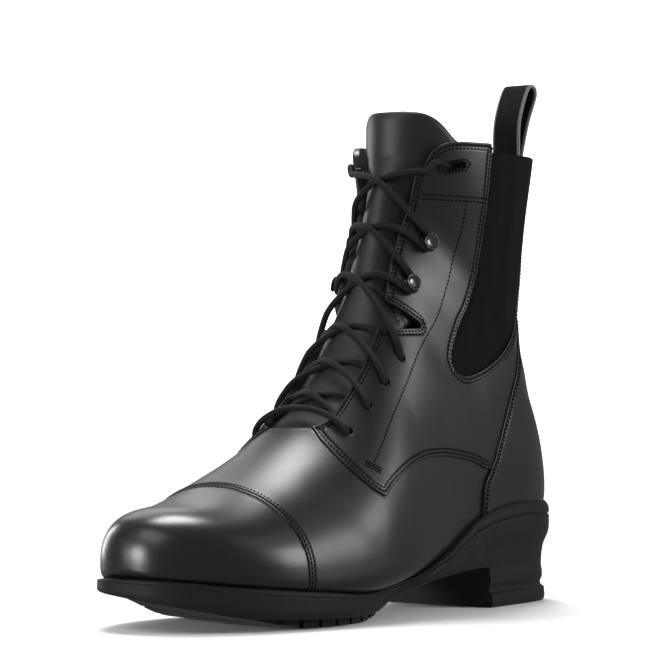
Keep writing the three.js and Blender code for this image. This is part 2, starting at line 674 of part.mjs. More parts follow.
const rimBase = (() => {
  const lateral = rimSide(1);
  const medial = rimSide(-1);
  const toe = lateral[0].clone().lerp(medial[0], 0.5);
  const heel = lateral[RIM_SEGMENTS].clone().lerp(medial[RIM_SEGMENTS], 0.5);
  return [toe, ...lateral.slice(1, -1), heel, ...medial.slice(1, -1).reverse()];
})();

// The rim's closed plan line moved out by a distance, which may be a function of the point's index
function rimLine(distance) {
  const count = rimBase.length;
  return rimBase.map((point, k) => {
    const before = rimBase[(k + count - 1) % count];
    const after = rimBase[(k + 1) % count];
    const run = after.clone().sub(before).normalize();
    const amount = typeof distance === 'function' ? distance(k) : distance;
    return new THREE.Vector2(point.x + run.y * amount, point.y - run.x * amount);
  });
}

// A closed body between rings that follow the rim's line, capped by ladders across the boot
function ladder(rings) {
  const count = rings[0].length;
  const points = rings.flat();
  const triangles = [];
  for (let ring = 0; ring < rings.length - 1; ring += 1) {
    for (let k = 0; k < count; k += 1) {
      const a = ring * count + k;
      const b = ring * count + ((k + 1) % count);
      triangles.push(a, b, a + count, b, b + count, a + count);
    }
  }
  const top = (rings.length - 1) * count;
  for (let k = 0; k < count / 2; k += 1) {
    const [a, b] = [k, k + 1];
    const [c, d] = [(count - k) % count, count - k - 1];
    if (c !== a) triangles.push(b, a, c, top + a, top + b, top + c);
    if (d !== b) triangles.push(b, c, d, top + b, top + d, top + c);
  }
  return outward(points, triangles);
}

// Profile of the outsole's side from its lower edge to its rim, as shares of how proud the rim is
const WALL_PROFILE = table(
  ['up', 'forepart', 'waist', 'heel'],
  [
    [0.00, 0.45, 0.10, 0.10],
    [0.10, 0.80, 0.50, 0.15],
    [0.30, 1.00, 0.90, 0.45],
    [0.52, 1.00, 1.10, 1.35],
    [0.76, 1.00, 1.15, 1.50],
    [0.80, 1.00, 0.90, 1.20],
    [0.84, 1.00, 1.15, 1.50],
    [0.94, 0.95, 1.05, 1.30],
    [1.00, 0.75, 0.65, 0.80],
  ],
);
const HEEL_BLOCK = table(
  ['up', 'proud'],
  [[0, 0.55], [0.96 * HEEL_LIFT_HEIGHT, 0.62], [HEEL_LIFT_HEIGHT, 0.40],
    [0.62 * BREAST_HEIGHT, 0.30], [1.1 * BREAST_HEIGHT, 0.10]],
);
const FLUTES = [0.30, 0.365, 0.43, 0.495];

// Soft slanting flutes in the waist of the outsole's side
function flute(along, up) {
  return FLUTES.reduce((sum, foot) => {
    const away = (along - (foot - 0.07 * up)) / 0.016;
    return sum - FLUTE_DEPTH * Math.exp(-away * away) * Math.sin(Math.PI * up);
  }, 0);
}

function outsole() {
  const alongs = rimBase.map((point) => -point.y / BOOT_LENGTH);
  const mix = (along, from, to) => THREE.MathUtils.smoothstep(along, from, to);
  const rings = WALL_PROFILE.up.map((up, row) => {
    const line = rimLine((k) => {
      const along = alongs[k];
      const rear = THREE.MathUtils.lerp(WALL_PROFILE.heel[row], WALL_PROFILE.waist[row],
        mix(along, 0.20, 0.32));
      const share = THREE.MathUtils.lerp(rear, WALL_PROFILE.forepart[row], mix(along, 0.45, 0.58));
      return RIM_PROUD * share + flute(along, up);
    });
    return line.map((point, k) => {
      const height = THREE.MathUtils.lerp(sideEdge(rimBase[k]), rimHeight(alongs[k]), up);
      return new THREE.Vector3(point.x, point.y, height);
    });
  });
  let body = ladder(rings);

  const heelRings = HEEL_BLOCK.up.map((height, row) => {
    const line = rimLine(RIM_PROUD * HEEL_BLOCK.proud[row]);
    return line.map((point) => new THREE.Vector3(point.x, point.y, height));
  });
  const rear = block(new THREE.Vector3(-BALL_WIDTH, -HEEL_LENGTH, -SEAT_HEIGHT),
    new THREE.Vector3(BALL_WIDTH, BALL_WIDTH, SEAT_HEIGHT));
  body = body.add(ladder(heelRings).intersect(rear));

  const treadLine = rimLine(-TREAD_INSET);
  const depth = (point) => SIDE_LIFT * (1 - mix(-point.y / BOOT_LENGTH, 0.76, TREAD_FRONT));
  const treadLow = (point) => Math.max(0, sideEdge(point) - depth(point));
  const tread = ladder([
    treadLine.map((point) => new THREE.Vector3(point.x, point.y, treadLow(point))),
    treadLine.map((point) => new THREE.Vector3(point.x, point.y, sideEdge(point) + SIDE_LIFT)),
  ]);
  const forepart = block(new THREE.Vector3(-BALL_WIDTH, -TREAD_FRONT * BOOT_LENGTH, -SEAT_HEIGHT),
    new THREE.Vector3(BALL_WIDTH, -TREAD_REAR * BOOT_LENGTH, SEAT_HEIGHT));
  body = body.add(tread.intersect(forepart));
  body = body.subtract(treadGrooves());
  return body.subtract(outerForm(GAP));
}

// Cross grooves that part the lugs: right across the forepart, but short of the heel's sides
function treadGrooves() {
  const half = TREAD_GROOVE_WIDTH / 2;
  const bar = (centre, reach) => block(new THREE.Vector3(-reach, -centre - half, -TREAD_GROOVE_DEPTH),
    new THREE.Vector3(reach, -centre + half, TREAD_GROOVE_DEPTH));
  const forepart = spread(0, TREAD_LUGS, TREAD_LUGS)
    .map((k) => bar((TREAD_REAR + 0.03) * BOOT_LENGTH + k * TREAD_PITCH, BALL_WIDTH));
  const heel = spread(1, HEEL_LUGS, HEEL_LUGS - 1)
    .map((k) => bar(HEEL_LENGTH - k * TREAD_PITCH, HEEL_WIDTH / 2 - 2 * TREAD_INSET));
  return [...forepart, ...heel].reduce((sum, next) => sum.add(next));
}

// A round tube along points, as a closed solid
function tube(points, diameter) {
  const path = new THREE.CatmullRomCurve3(points);
  const circle = new THREE.Shape(spread(0, 2 * Math.PI, LACE_SIDES).slice(1)
    .map((turn) => new THREE.Vector2(Math.cos(turn), Math.sin(turn)).multiplyScalar(diameter / 2)));
  const steps = Math.max(4, Math.round(path.getLength() / (3 * diameter)));
  return solidFrom(new THREE.ExtrudeGeometry(circle, { steps, extrudePath: path, bevelEnabled: false }));
}

// Rows that the lace passes: the four eyelets, the two hooks and the buttonhole
const LACE_ROWS = [
  ...EYELET_STATIONS.map((station) => ({ station, setback: EYELET_SETBACK })),
  ...HOOK_STATIONS.map((station) => ({ station, setback: HOOK_SETBACK })),
  { station: BUTTONHOLE_STATION, setback: BUTTONHOLE_SETBACK },
];
// How far the lace's middle runs over the facings, and how far over the tongue
const LACE_OVER = OVERLAY_STEP + 3 * GAP + LACE_DIAMETER / 2;
const LACE_UNDER = -WALL + 1.5 * GAP + LACE_DIAMETER / 2;

const laceAt = (station, beside, offset) => offLast(station, turnBeside(station, beside), offset);

function laceBar() {
  const { station, setback } = LACE_ROWS[0];
  const reach = facingEdge(station) + setback;
  const shares = [-1, -0.62, 0, 0.62, 1];
  return tube(shares.map((share) => laceAt(station - 0.02, share * reach, LACE_OVER)), LACE_DIAMETER);
}

// One strand across the tongue to the other facing, one row higher. It comes out of an eyelet and
// goes under the next facing; the first one starts below its facing, and hooks hold it outside.
function strand(row, side) {
  const from = LACE_ROWS[row];
  const to = LACE_ROWS[row + 1];
  const hookedStart = row >= EYELET_STATIONS.length;
  const hookedEnd = row + 1 >= EYELET_STATIONS.length;
  const besideHook = HOOK_DIAMETER / 2 + LACE_DIAMETER / 2 - GAP;
  const first = from.station + (hookedStart ? 0.20 : 0.06);
  const last = to.station - (hookedEnd ? 0.20 : 0.08);
  const station = (share) => THREE.MathUtils.lerp(first, last, share);
  const edge = (share) => facingEdge(station(share));
  const shy = -LACE_DIAMETER / 2 - 4 * GAP;
  const startSetback = row === 0 ? shy : from.setback - (hookedStart ? besideHook : 0);
  const endSetback = hookedEnd ? to.setback - besideHook : shy;
  const lowEnd = hookedEnd ? LACE_OVER : LACE_UNDER;
  const lowStart = row === 0 ? LACE_UNDER : LACE_OVER;
  return tube([
    laceAt(first, side * (facingEdge(from.station) + startSetback), lowStart),
    ...(row === 0 ? [] : [laceAt(station(0.1), side * (edge(0.1) + 0.35 * startSetback), lowStart)]),
    laceAt(station(0.22), side * 0.84 * edge(0.22), lowStart),
    laceAt(station(0.5), 0, (LACE_OVER + LACE_UNDER) / 2),
    laceAt(station(0.78), -side * 0.80 * edge(0.78), lowEnd),
    laceAt(last, -side * (edge(1) + endSetback), lowEnd),
  ], LACE_DIAMETER);
}

const laceCrossing = (row) => strand(row, 1).add(strand(row, -1));

function hook(station, side) {
  const radius = HOOK_DIAMETER / 2;
  const profile = [[0, -0.2], [1, -0.2], [1, 0.12], [0.5, 0.16], [0.45, 0.70], [1, 0.84], [0.94, 1],
    [0.5, 0.92], [0, 0.92]].map(([out, up]) => new THREE.Vector2(out * radius, up * HOOK_HEIGHT));
  const geometry = new THREE.LatheGeometry(profile, 8);
  const turn = turnBeside(station, side * (facingEdge(station) + HOOK_SETBACK));
  const normal = lastNormal(station, turn);
  geometry.applyQuaternion(new THREE.Quaternion().setFromUnitVectors(new THREE.Vector3(0, 1, 0), normal));
  geometry.translate(...lastPoint(station, turn).addScaledVector(normal, OVERLAY_STEP + GAP));
  return solidFrom(geometry).subtract(outerForm(GAP));
}

// Point on the middle of the shaft's back at a height, moved out by an offset
function backAt(up, offset) {
  let [low, high] = [10, LAST_SECTION];
  for (let pass = 0; pass < 30; pass += 1) {
    const middle = (low + high) / 2;
    if (offLast(middle, 0, offset).z > up) high = middle;
    else low = middle;
  }
  const point = offLast(low, 0, offset);
  return new THREE.Vector2(point.y, point.z);
}

// Folded webbing that stands up from the back strip, with both legs sewn flat on its outside
function pullLoop() {
  const half = LOOP_THICKNESS / 2;
  const near = OVERLAY_STEP + COUNTER_STEP + GAP + half;
  const far = near + LOOP_THICKNESS + GAP;
  const foot = GORE_TOP - LOOP_OVERLAP;
  const crown = backAt(GORE_TOP, 0);
  const lean = (share) => crown.x + LOOP_LEAN * share;
  const path = new THREE.SplineCurve([
    backAt(foot, near), backAt(GORE_TOP, near),
    new THREE.Vector2(lean(0.5) - LOOP_BELLY - half, GORE_TOP + 0.5 * LOOP_HEIGHT),
    new THREE.Vector2(lean(0.88) - LOOP_BELLY, GORE_TOP + 0.90 * LOOP_HEIGHT),
    new THREE.Vector2(lean(1.0), GORE_TOP + LOOP_HEIGHT - half),
    new THREE.Vector2(lean(0.95) + 0.9 * LOOP_BELLY, GORE_TOP + 0.86 * LOOP_HEIGHT),
    new THREE.Vector2(lean(0.55) + 0.7 * LOOP_BELLY, GORE_TOP + 0.5 * LOOP_HEIGHT),
    backAt(GORE_TOP, far), backAt(foot, far),
  ]);
  const middle = path.getPoints(LOOP_PIECES);
  const side = (sign) => middle.map((point, k) => {
    const run = middle[Math.min(k + 1, LOOP_PIECES)].clone().sub(middle[Math.max(k - 1, 0)]).normalize();
    return new THREE.Vector2(point.x - sign * half * run.y, point.y + sign * half * run.x);
  });
  const shape = new THREE.Shape([...side(1), ...side(-1).reverse()]);
  const geometry = new THREE.ExtrudeGeometry(shape, { depth: LOOP_WIDTH, bevelEnabled: false });
  geometry.translate(0, 0, -LOOP_WIDTH / 2);
  const [x, y, z] = [new THREE.Vector3(1, 0, 0), new THREE.Vector3(0, 1, 0), new THREE.Vector3(0, 0, 1)];
  geometry.applyMatrix4(new THREE.Matrix4().makeBasis(y, z, x));
  return solidFrom(geometry);
}

const leather = new THREE.MeshStandardMaterial({ color: 0x16161a, roughness: 0.28, metalness: 0 });
const softLeather = new THREE.MeshStandardMaterial({ color: 0x1b1b1e, roughness: 0.45, metalness: 0 });
const elastic = new THREE.MeshStandardMaterial({ color: 0x1d1a18, roughness: 0.9, metalness: 0 });
const rubber = new THREE.MeshStandardMaterial({ color: 0x26282b, roughness: 0.7, metalness: 0 });
const webbing = new THREE.MeshStandardMaterial({ color: 0x1a1a1a, roughness: 0.85, metalness: 0 });
const lace = new THREE.MeshStandardMaterial({ color: 0x23262b, roughness: 0.8, metalness: 0 });
const hookMetal = new THREE.MeshStandardMaterial({ color: 0x101012, roughness: 0.25, metalness: 0.6 });
const board = new THREE.MeshStandardMaterial({ color: 0x2a2623, roughness: 0.85, metalness: 0 });

const boot = new THREE.Group();

function place(name, body, material) {
  const mesh = new THREE.Mesh(geometryOf(body), material);
  mesh.name = name;
  boot.add(mesh);
}

place('outsole', outsole(), rubber);
place('upper', upper(), leather);
place('insole', insole(), board);
place('tongue', tongue(), softLeather);
for (const [name, side] of SIDES) place(`elastic_gore_${name}`, gore(side), elastic);
place('pull_loop', pullLoop(), webbing);
place('lace_bar', laceBar(), lace);
for (let row = 0; row < LACE_ROWS.length - 1; row += 1) {
  place(`lace_crossing_${row + 1}`, laceCrossing(row), lace);
}
for (const [name, side] of SIDES) {
  place(`lace_hook_${name}_lower`, hook(HOOK_STATIONS[0], side), hookMetal);
  place(`lace_hook_${name}_upper`, hook(HOOK_STATIONS[1], side), hookMetal);
}

const box = new THREE.Box3().setFromObject(boot);
const centre = box.getCenter(new THREE.Vector3());
boot.position.set(-centre.x, -centre.y, -box.min.z);

export default boot;
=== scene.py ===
# %% [markdown]
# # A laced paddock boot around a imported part
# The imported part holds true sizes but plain, faceted solids. This script keeps it as the fixed frame
# and puts dense, finished pieces over it: leather panels, gores, tongue, lace, hooks, sole and loop.
# All of them are computed from the same description of the last, the foot-shaped form that a boot
# is pulled over. Work in that order and every seam falls into place by itself.

# %% Load the frame
import math

import bmesh
import bpy
import numpy as np
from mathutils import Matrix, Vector
from mathutils.bvhtree import BVHTree
from mathutils.kdtree import KDTree


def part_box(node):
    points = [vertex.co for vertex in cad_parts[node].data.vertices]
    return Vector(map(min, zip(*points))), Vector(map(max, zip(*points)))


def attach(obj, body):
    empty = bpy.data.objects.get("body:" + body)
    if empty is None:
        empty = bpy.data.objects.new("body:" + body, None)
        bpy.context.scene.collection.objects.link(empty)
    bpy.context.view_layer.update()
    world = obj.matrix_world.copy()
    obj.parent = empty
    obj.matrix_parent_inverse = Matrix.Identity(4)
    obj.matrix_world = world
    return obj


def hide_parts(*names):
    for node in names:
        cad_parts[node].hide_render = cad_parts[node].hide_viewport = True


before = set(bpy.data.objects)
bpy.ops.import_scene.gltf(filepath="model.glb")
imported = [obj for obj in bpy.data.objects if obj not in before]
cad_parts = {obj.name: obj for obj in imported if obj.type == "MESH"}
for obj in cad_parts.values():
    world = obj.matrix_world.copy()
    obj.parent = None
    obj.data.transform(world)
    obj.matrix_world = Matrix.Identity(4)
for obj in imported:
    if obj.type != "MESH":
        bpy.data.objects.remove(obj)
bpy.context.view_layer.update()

print("nodes:", sorted(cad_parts))

# %% [markdown]
# ## Where the last stands in the frame
# The formulas below are easiest with the rear of the heel at y = 0 and the toe towards -y. The frame is
# centred on the whole boot instead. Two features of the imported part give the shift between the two:
# the pull loop is centred on the last's x = 0, and the heel's front face is one heel length forward.

# %% Sizes in millimetres, and the shift into the frame
LENGTH, BALL, HEEL, ANKLE, COLLAR = 300.0, 102.0, 64.0, 60.0, 77.0
SEAT, TOE_BOX, INSTEP, SHAFT = 36.0, 60.0, 117.0, 228.0
WALL, QUARTER_STEP, COUNTER_STEP, GAP = 2.2, 0.8, 0.7, 0.3
QUARTER_TOP, GORE_TOP, THROAT_GAP = 231.0, 226.5, 34.0
HEEL_LENGTH, BREAST, TOE_SPRING, TOE_SKEW, SIDE_LIFT = 76.0, 21.0, 16.1, 11.0, 4.2
RIM_PROUD, CUP_WALL = 3.0, 16.5

loop_low, loop_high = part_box("pull_loop")
sole_points = np.array([v.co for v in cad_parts["outsole"].data.vertices]) * 1000
flat = sole_points[(sole_points[:, 2] < 0.05) & (sole_points[:, 1] > 20)]
SHIFT = np.array([(loop_low.x + loop_high.x) * 500, flat[:, 1].min() + HEEL_LENGTH, 0.0])
print("shift of the last into the frame, mm:", SHIFT.round(2))

# %% [markdown]
# ## The last as a fan of sections
# A shoe last bends through a right angle, so straight slices along one axis would miss either the foot or
# the shaft. A fan of sections turns with it: each runs from a low or rear point to a high or front point.
# Only sixteen rows are needed, because a smooth curve is drawn through each column. `station` counts
# the rows from the toe tip, and `turn` goes round a section: 0 at the low point, pi at the crest.

# %% The table of sections
def on_vamp(share):
    return TOE_BOX + share * (INSTEP - TOE_BOX)


def on_shaft(share):
    return INSTEP + share * (SHAFT - INSTEP)


def on_back(share):
    return SEAT + share * (SHAFT - SEAT)


COLUMNS = ("low_along", "low_up", "high_along", "high_up", "lateral", "medial",
           "swing_low", "swing_high", "full_at", "low_round", "high_round")
SECTIONS = dict(zip(COLUMNS, np.array([
    [0.991, 0.64 * SEAT, 0.991, 1.01 * TOE_BOX, 0.436 * BALL, 0.417 * BALL, -0.078, -0.088, 0.17, 3.4, 2.35],
    [0.945, 0.54 * SEAT, 0.945, 0.94 * TOE_BOX, 0.441 * BALL, 0.422 * BALL, -0.078, -0.088, 0.30, 3.6, 2.35],
    [0.850, 0.42 * SEAT, 0.850, 0.975 * TOE_BOX, 0.476 * BALL, 0.451 * BALL, -0.059, -0.088, 0.28, 4.0, 2.3],
    [0.740, 0.333 * SEAT, 0.740, on_vamp(0.18), 0.500 * BALL, 0.480 * BALL, -0.029, -0.088, 0.25, 4.5, 2.2],
    [0.633, 0.333 * SEAT, 0.634, on_vamp(0.50), 0.508 * BALL, 0.462 * BALL, 0.0, -0.058, 0.24, 4.6, 2.1],
    [0.533, 0.417 * SEAT, 0.546, on_vamp(0.98), 0.465 * BALL, 0.408 * BALL, 0.020, -0.025, 0.22, 4.6, 2.1],
    [0.417, 0.611 * SEAT, 0.498, on_shaft(0.205), 0.400 * BALL, 0.348 * BALL, 0.029, -0.020, 0.23, 4.6, 2.1],
    [0.300, 0.806 * SEAT, 0.474, on_shaft(0.366), 0.559 * HEEL, 0.528 * HEEL, 0.020, 0.0, 0.26, 4.0, 2.1],
    [0.167, 0.944 * SEAT, 0.454, on_shaft(0.50), 0.520 * HEEL, 0.520 * HEEL, 0.010, 0.0, 0.30, 3.2, 2.1],
    [0.030, SEAT, 0.438, on_shaft(0.627), 0.500 * HEEL, 0.500 * HEEL, 0.0, 0.0, 0.35, 2.6, 2.1],
    [0.002, on_back(0.115), 0.428, on_shaft(0.736), 0.505 * ANKLE, 0.505 * ANKLE, 0.0, 0.0, 0.40, 2.3, 2.1],
    [0.039, on_back(0.281), 0.421, on_shaft(0.815), 0.488 * ANKLE, 0.488 * ANKLE, 0.0, 0.0, 0.42, 2.2, 2.1],
    [0.081, on_back(0.490), 0.414, on_shaft(0.885), 0.513 * ANKLE, 0.513 * ANKLE, 0.0, 0.0, 0.44, 2.2, 2.1],
    [0.072, on_back(0.750), 0.409, on_shaft(0.948), 0.458 * COLLAR, 0.458 * COLLAR, 0.0, 0.0, 0.45, 2.2, 2.1],
    [0.049, on_back(0.995), 0.408, on_shaft(1.0), 0.491 * COLLAR, 0.491 * COLLAR, 0.0, 0.0, 0.46, 2.2, 2.1],
    [0.038, on_back(1.145), 0.407, on_shaft(1.25), 0.505 * COLLAR, 0.505 * COLLAR, 0.0, 0.0, 0.46, 2.2, 2.1],
]).T))
LAST_STATION = len(SECTIONS["low_along"]) - 1
TIP = SECTIONS["low_along"][0]
print("sections:", LAST_STATION + 1, "over", round(TIP * LENGTH), "mm")

# %% [markdown]
# ## From the table to points and normals
# `last` turns any station and turn into a point. It works on whole arrays, so one call places a hundred
# thousand points. The normal comes from two tiny steps on the surface: their cross product. With it,
# `off` reaches any layer of the boot, from the lining at -2.2 mm to the counter at +1.5 mm.

# %% Points, normals and offsets of the last
def through(values, at):
    """Smooth curve through values at whole steps."""
    values = np.asarray(values, float)
    end = len(values) - 1
    index = np.clip(np.floor(at).astype(int), 0, end - 1)
    t = at - index
    rise = np.diff(values)
    slope = np.concatenate([[rise[0]], (rise[1:] + rise[:-1]) / 2, [rise[-1]]])
    t2, t3 = t * t, t ** 3
    return ((2 * t3 - 3 * t2 + 1) * values[index] + (t3 - 2 * t2 + t) * slope[index]
            + (3 * t2 - 2 * t3) * values[index + 1] + (t3 - t2) * slope[index + 1])


def follow(rows, share):
    """Smooth curve through rows of a share and a value, held at both ends."""
    x, y = np.array(rows, float).T
    share = np.clip(share, x[0], x[-1])
    index = np.clip(np.searchsorted(x, share, side="right") - 1, 0, len(x) - 2)
    width = x[index + 1] - x[index]
    t = (share - x[index]) / width
    rise = np.diff(y) / np.diff(x)
    slope = np.concatenate([[rise[0]], (rise[1:] + rise[:-1]) / 2, [rise[-1]]])
    t2, t3 = t * t, t ** 3
    return ((2 * t3 - 3 * t2 + 1) * y[index] + (t3 - 2 * t2 + t) * slope[index] * width
            + (3 * t2 - 2 * t3) * y[index + 1] + (t3 - t2) * slope[index + 1] * width)


def smoothstep(value, low, high):
    t = np.clip((value - low) / (high - low), 0, 1)
    return t * t * (3 - 2 * t)


# where the rounding of the toe starts, as a share of the length, and its power
WIDTH_ROUND, TOP_ROUND, BOTTOM_ROUND = (0.787, 2.2), (0.893, 2.3), (0.930, 3.0)


def toe_round(along, start, power):
    q = np.clip((along - start) / (TIP - start), 0, 1)
    return np.maximum(1 - q ** power, 0) ** (1 / power)


def section(station):
    row = {name: through(SECTIONS[name], station) for name in COLUMNS}
    middle = row["low_up"] + row["full_at"] * (row["high_up"] - row["low_up"])
    narrow = toe_round(row["low_along"], *WIDTH_ROUND)
    toe = row["low_along"] > WIDTH_ROUND[0]
    row["lateral"] = row["lateral"] * np.where(toe, narrow, 1)
    row["medial"] = row["medial"] * np.where(toe, narrow, 1)
    top = np.where(toe, toe_round(row["low_along"], *TOP_ROUND), 1)
    bottom = np.where(toe, toe_round(row["low_along"], *BOTTOM_ROUND), 1)
    row["high_up"] = middle + (row["high_up"] - middle) * top
    row["low_up"] = middle + (row["low_up"] - middle) * bottom
    return row


def last(station, turn):
    station, turn = np.broadcast_arrays(np.asarray(station, float), np.asarray(turn, float))
    row = section(station)
    angle = np.abs(turn)
    low = angle <= math.pi / 2
    power = 2 / np.where(low, row["low_round"], row["high_round"])
    rise, reach = np.abs(np.cos(angle)) ** power, np.abs(np.sin(angle)) ** power
    t = np.where(low, row["full_at"] * (1 - rise), row["full_at"] + (1 - row["full_at"]) * rise)
    half = np.where(turn > 0, row["lateral"], -row["medial"])
    swing = (row["swing_low"] + (row["swing_high"] - row["swing_low"]) * t ** 1.5) * BALL
    along = row["low_along"] + (row["high_along"] - row["low_along"]) * t
    up = row["low_up"] + (row["high_up"] - row["low_up"]) * t
    return np.stack([swing + half * reach, -along * LENGTH, up], -1)


def wrap(turn):
    return (turn + math.pi) % (2 * math.pi) - math.pi


def normal(station, turn):
    station, turn = np.broadcast_arrays(np.asarray(station, float), np.asarray(turn, float))
    step = 0.01
    forward = (last(np.minimum(station + step, LAST_STATION), turn)
               - last(np.maximum(station - step, 0.001), turn))
    around = last(station, wrap(turn + step)) - last(station, wrap(turn - step))
    n = np.cross(forward, around)
    n = n / np.maximum(np.linalg.norm(n, axis=-1, keepdims=True), 1e-12)
    pole = (1 - smoothstep(station, 0.0, 0.03))[..., None]
    n = n * (1 - pole) + np.array([0.0, -1.0, 0.0]) * pole
    return n / np.linalg.norm(n, axis=-1, keepdims=True)


def off(station, turn, distance):
    return last(station, turn) + normal(station, turn) * np.asarray(distance, float)[..., None]


def turn_beside(station, beside):
    """The turn at which a section lies a distance beside its crest, positive laterally."""
    row = section(np.asarray(station, float))
    half = np.where(np.asarray(beside) > 0, row["lateral"], row["medial"])
    reach = np.clip(np.abs(beside) / half, 0, 1)
    turn = math.pi - np.arcsin(reach ** (row["high_round"] / 2))
    return np.where(np.asarray(beside) < 0, -turn, turn)


print("crest of the instep:", last(5.0, math.pi).round(1), "back of the collar:", last(14.0, 0.0).round(1))

# %% [markdown]
# ## Seams drawn as flat outlines
# A boot's pattern is cut flat, so the seams are simplest as flat lines too: the cap's seam in plan, the
# others in side view. A signed distance to such a line is positive on one side and negative on the other,
# and that one number answers everything later: which panel a spot belongs to and where the edge is.

# %% Seam lines and signed distances
def spline(points, pieces):
    """Catmull-Rom line through points."""
    points = np.asarray(points, float)
    at = np.linspace(0, len(points) - 1, pieces + 1)
    return np.stack([through(points[:, k], at) for k in range(points.shape[1])], -1)


def side_line(points, pieces=60):
    """Smooth line through [share along, height] points, as (mm from the heel, height)."""
    return spline(points, pieces) * [LENGTH, 1.0]


def signed(points, outline):
    """Distance of flat points to a closed outline, positive inside."""
    ends = np.roll(outline, -1, axis=0)
    best = np.full(len(points), 1e9)
    inside = np.zeros(len(points), bool)
    for a, b in zip(outline, ends):
        run = b - a
        size = max(run @ run, 1e-12)
        t = np.clip(((points - a) @ run) / size, 0, 1)
        away = points - a - t[:, None] * run
        best = np.minimum(best, (away ** 2).sum(1))
        crosses = (a[1] > points[:, 1]) != (b[1] > points[:, 1])
        if abs(run[1]) > 1e-12:
            inside ^= crosses & (points[:, 0] < a[0] + (points[:, 1] - a[1]) / run[1] * run[0])
    return np.where(inside, 1, -1) * np.sqrt(best)


HIGH = 2 * SHAFT
FRONT = [[0.603, on_vamp(0.62)], [0.612, on_vamp(0.585)], [0.620, on_vamp(0.52)], [0.630, on_vamp(0.42)],
         [0.633, on_vamp(0.29)], [0.627, on_vamp(0.165)], [0.614, on_vamp(0.06)], [0.592, on_vamp(-0.02)]]
ARCH = [[0.592, on_vamp(-0.02)], [0.558, on_vamp(0.10)], [0.512, on_vamp(0.215)], [0.458, on_vamp(0.282)],
        [0.399, on_vamp(0.291)], [0.337, on_vamp(0.259)], [0.288, on_vamp(0.207)], [0.240, on_vamp(0.13)]]
COUNTER = [[0.283, 0.75 * SEAT], [0.279, 1.6 * SEAT], [0.253, on_back(0.174)], [0.223, on_back(0.247)],
           [0.192, on_back(0.327)], [0.156, on_back(0.430)], [0.127, on_back(0.515)],
           [0.100, on_back(0.595)], [0.075, on_back(0.68)], [0.055, on_back(0.76)]]
GORE = [[0.257, on_back(1.08)], [0.260, on_back(0.99)], [0.262, on_back(0.84)], [0.263, on_back(0.75)],
        [0.268, on_back(0.665)], [0.285, on_back(0.598)], [0.311, on_back(0.545)], [0.333, on_back(0.495)],
        [0.342, on_back(0.455)], [0.334, on_back(0.427)], [0.308, on_back(0.413)], [0.268, on_back(0.424)],
        [0.228, on_back(0.448)], [0.189, on_back(0.483)], [0.155, on_back(0.535)], [0.133, on_back(0.60)],
        [0.112, on_back(0.68)], [0.095, on_back(0.76)], [0.070, on_back(0.86)], [0.030, on_back(0.95)],
        [-0.05, on_back(1.08)]]
CAP = np.array([[-0.66, 0.762], [-0.52, 0.777], [-0.40, 0.788], [-0.26, 0.788], [-0.12, 0.786],
                [0.0, 0.788], [0.16, 0.790], [0.32, 0.788], [0.45, 0.777], [0.62, 0.762]]) * [BALL, LENGTH]
quarter_outline = np.vstack([[[0.56 * LENGTH, HIGH]], side_line(FRONT), side_line(ARCH)[1:],
                             [[-0.2 * LENGTH, on_vamp(-0.1)], [-0.2 * LENGTH, HIGH]]])
counter_outline = np.vstack([[[-0.2 * LENGTH, 0.75 * SEAT]], side_line(COUNTER),
                             [[-0.2 * LENGTH, on_back(0.80)]]])
gore_outline = side_line(GORE, 120)
notch_outline = np.array([[0.53, on_shaft(0.184)], [0.409, on_shaft(0.195)], [0.402, on_shaft(0.212)],
                          [0.462, on_shaft(0.318)], [0.53, on_shaft(0.40)]]) * [LENGTH, 1]
collar_front = side_line([[0.322, QUARTER_TOP], [0.349, QUARTER_TOP - 1.2], [0.367, QUARTER_TOP - 5],
                          [0.376, QUARTER_TOP - 12]], 16)
collar_outline = np.vstack([np.array([[-0.2, HIGH], [-0.2, GORE_TOP], [0.256, GORE_TOP],
                                      [0.264, QUARTER_TOP]]) * [LENGTH, 1], collar_front,
                            np.array([[0.6, QUARTER_TOP - 12], [0.6, HIGH]]) * [LENGTH, 1]])
cap_line = spline(CAP, 40)

FACING = [[4.3, 0.555], [4.9, 0.537], [5.4, 0.533], [6.3, 0.500], [7.1, 0.453], [8.2, 0.385], [9.2, 0.382],
          [10.3, 0.418], [12.0, 0.488], [13.7, 0.606], [15.0, 0.700]]
THROAT_START, THROAT_FULL = 4.08, 4.4


def facing_edge(station):
    return THROAT_GAP * follow(FACING, station)


BED = sorted(zip(SECTIONS["low_along"][1:10], SECTIONS["low_up"][1:10]))
RIM_LIFT = [[0, 0.92], [0.06, 0.93], [0.15, 1.05], [0.22, 1.06], [0.30, 0.92], [0.36, 0.63], [0.417, 0.36],
            [0.467, 0.16], [0.533, 0.05], [0.633, 0.13], [0.74, 0.27], [0.85, 0.25], [0.945, 0.20], [1, 0.34]]


def rim_height(along):
    return follow(BED, along) + CUP_WALL * follow(RIM_LIFT, along)


EYELETS = [4.40, 4.93, 5.57, 6.40]
EYELET_SETBACK, EYELET_RADIUS = 9.6, 2.2
HOOKS, HOOK_SETBACK = [8.22, 10.12], 6.0
BUTTONHOLE, BUTTONHOLE_SETBACK = 13.42, 10.0
SLIT_HALF_LENGTH, SLIT_HALF_WIDTH = 4.6, 1.6
print("quarter outline points:", len(quarter_outline))


# %% [markdown]
# ## One fine grid over the whole last
# All leather panels share one grid of about a millimetre, so they meet without gaps. A plain grid would
# cut a slanted seam into stairs. So before cutting, the grid points nearest to a seam are moved onto it,
# along the grid line that crosses it. Then every triangle lies wholly on one side, and edges are crisp.
# All turns meet in one point at the toe's tip, so the first rows lie very close to it.

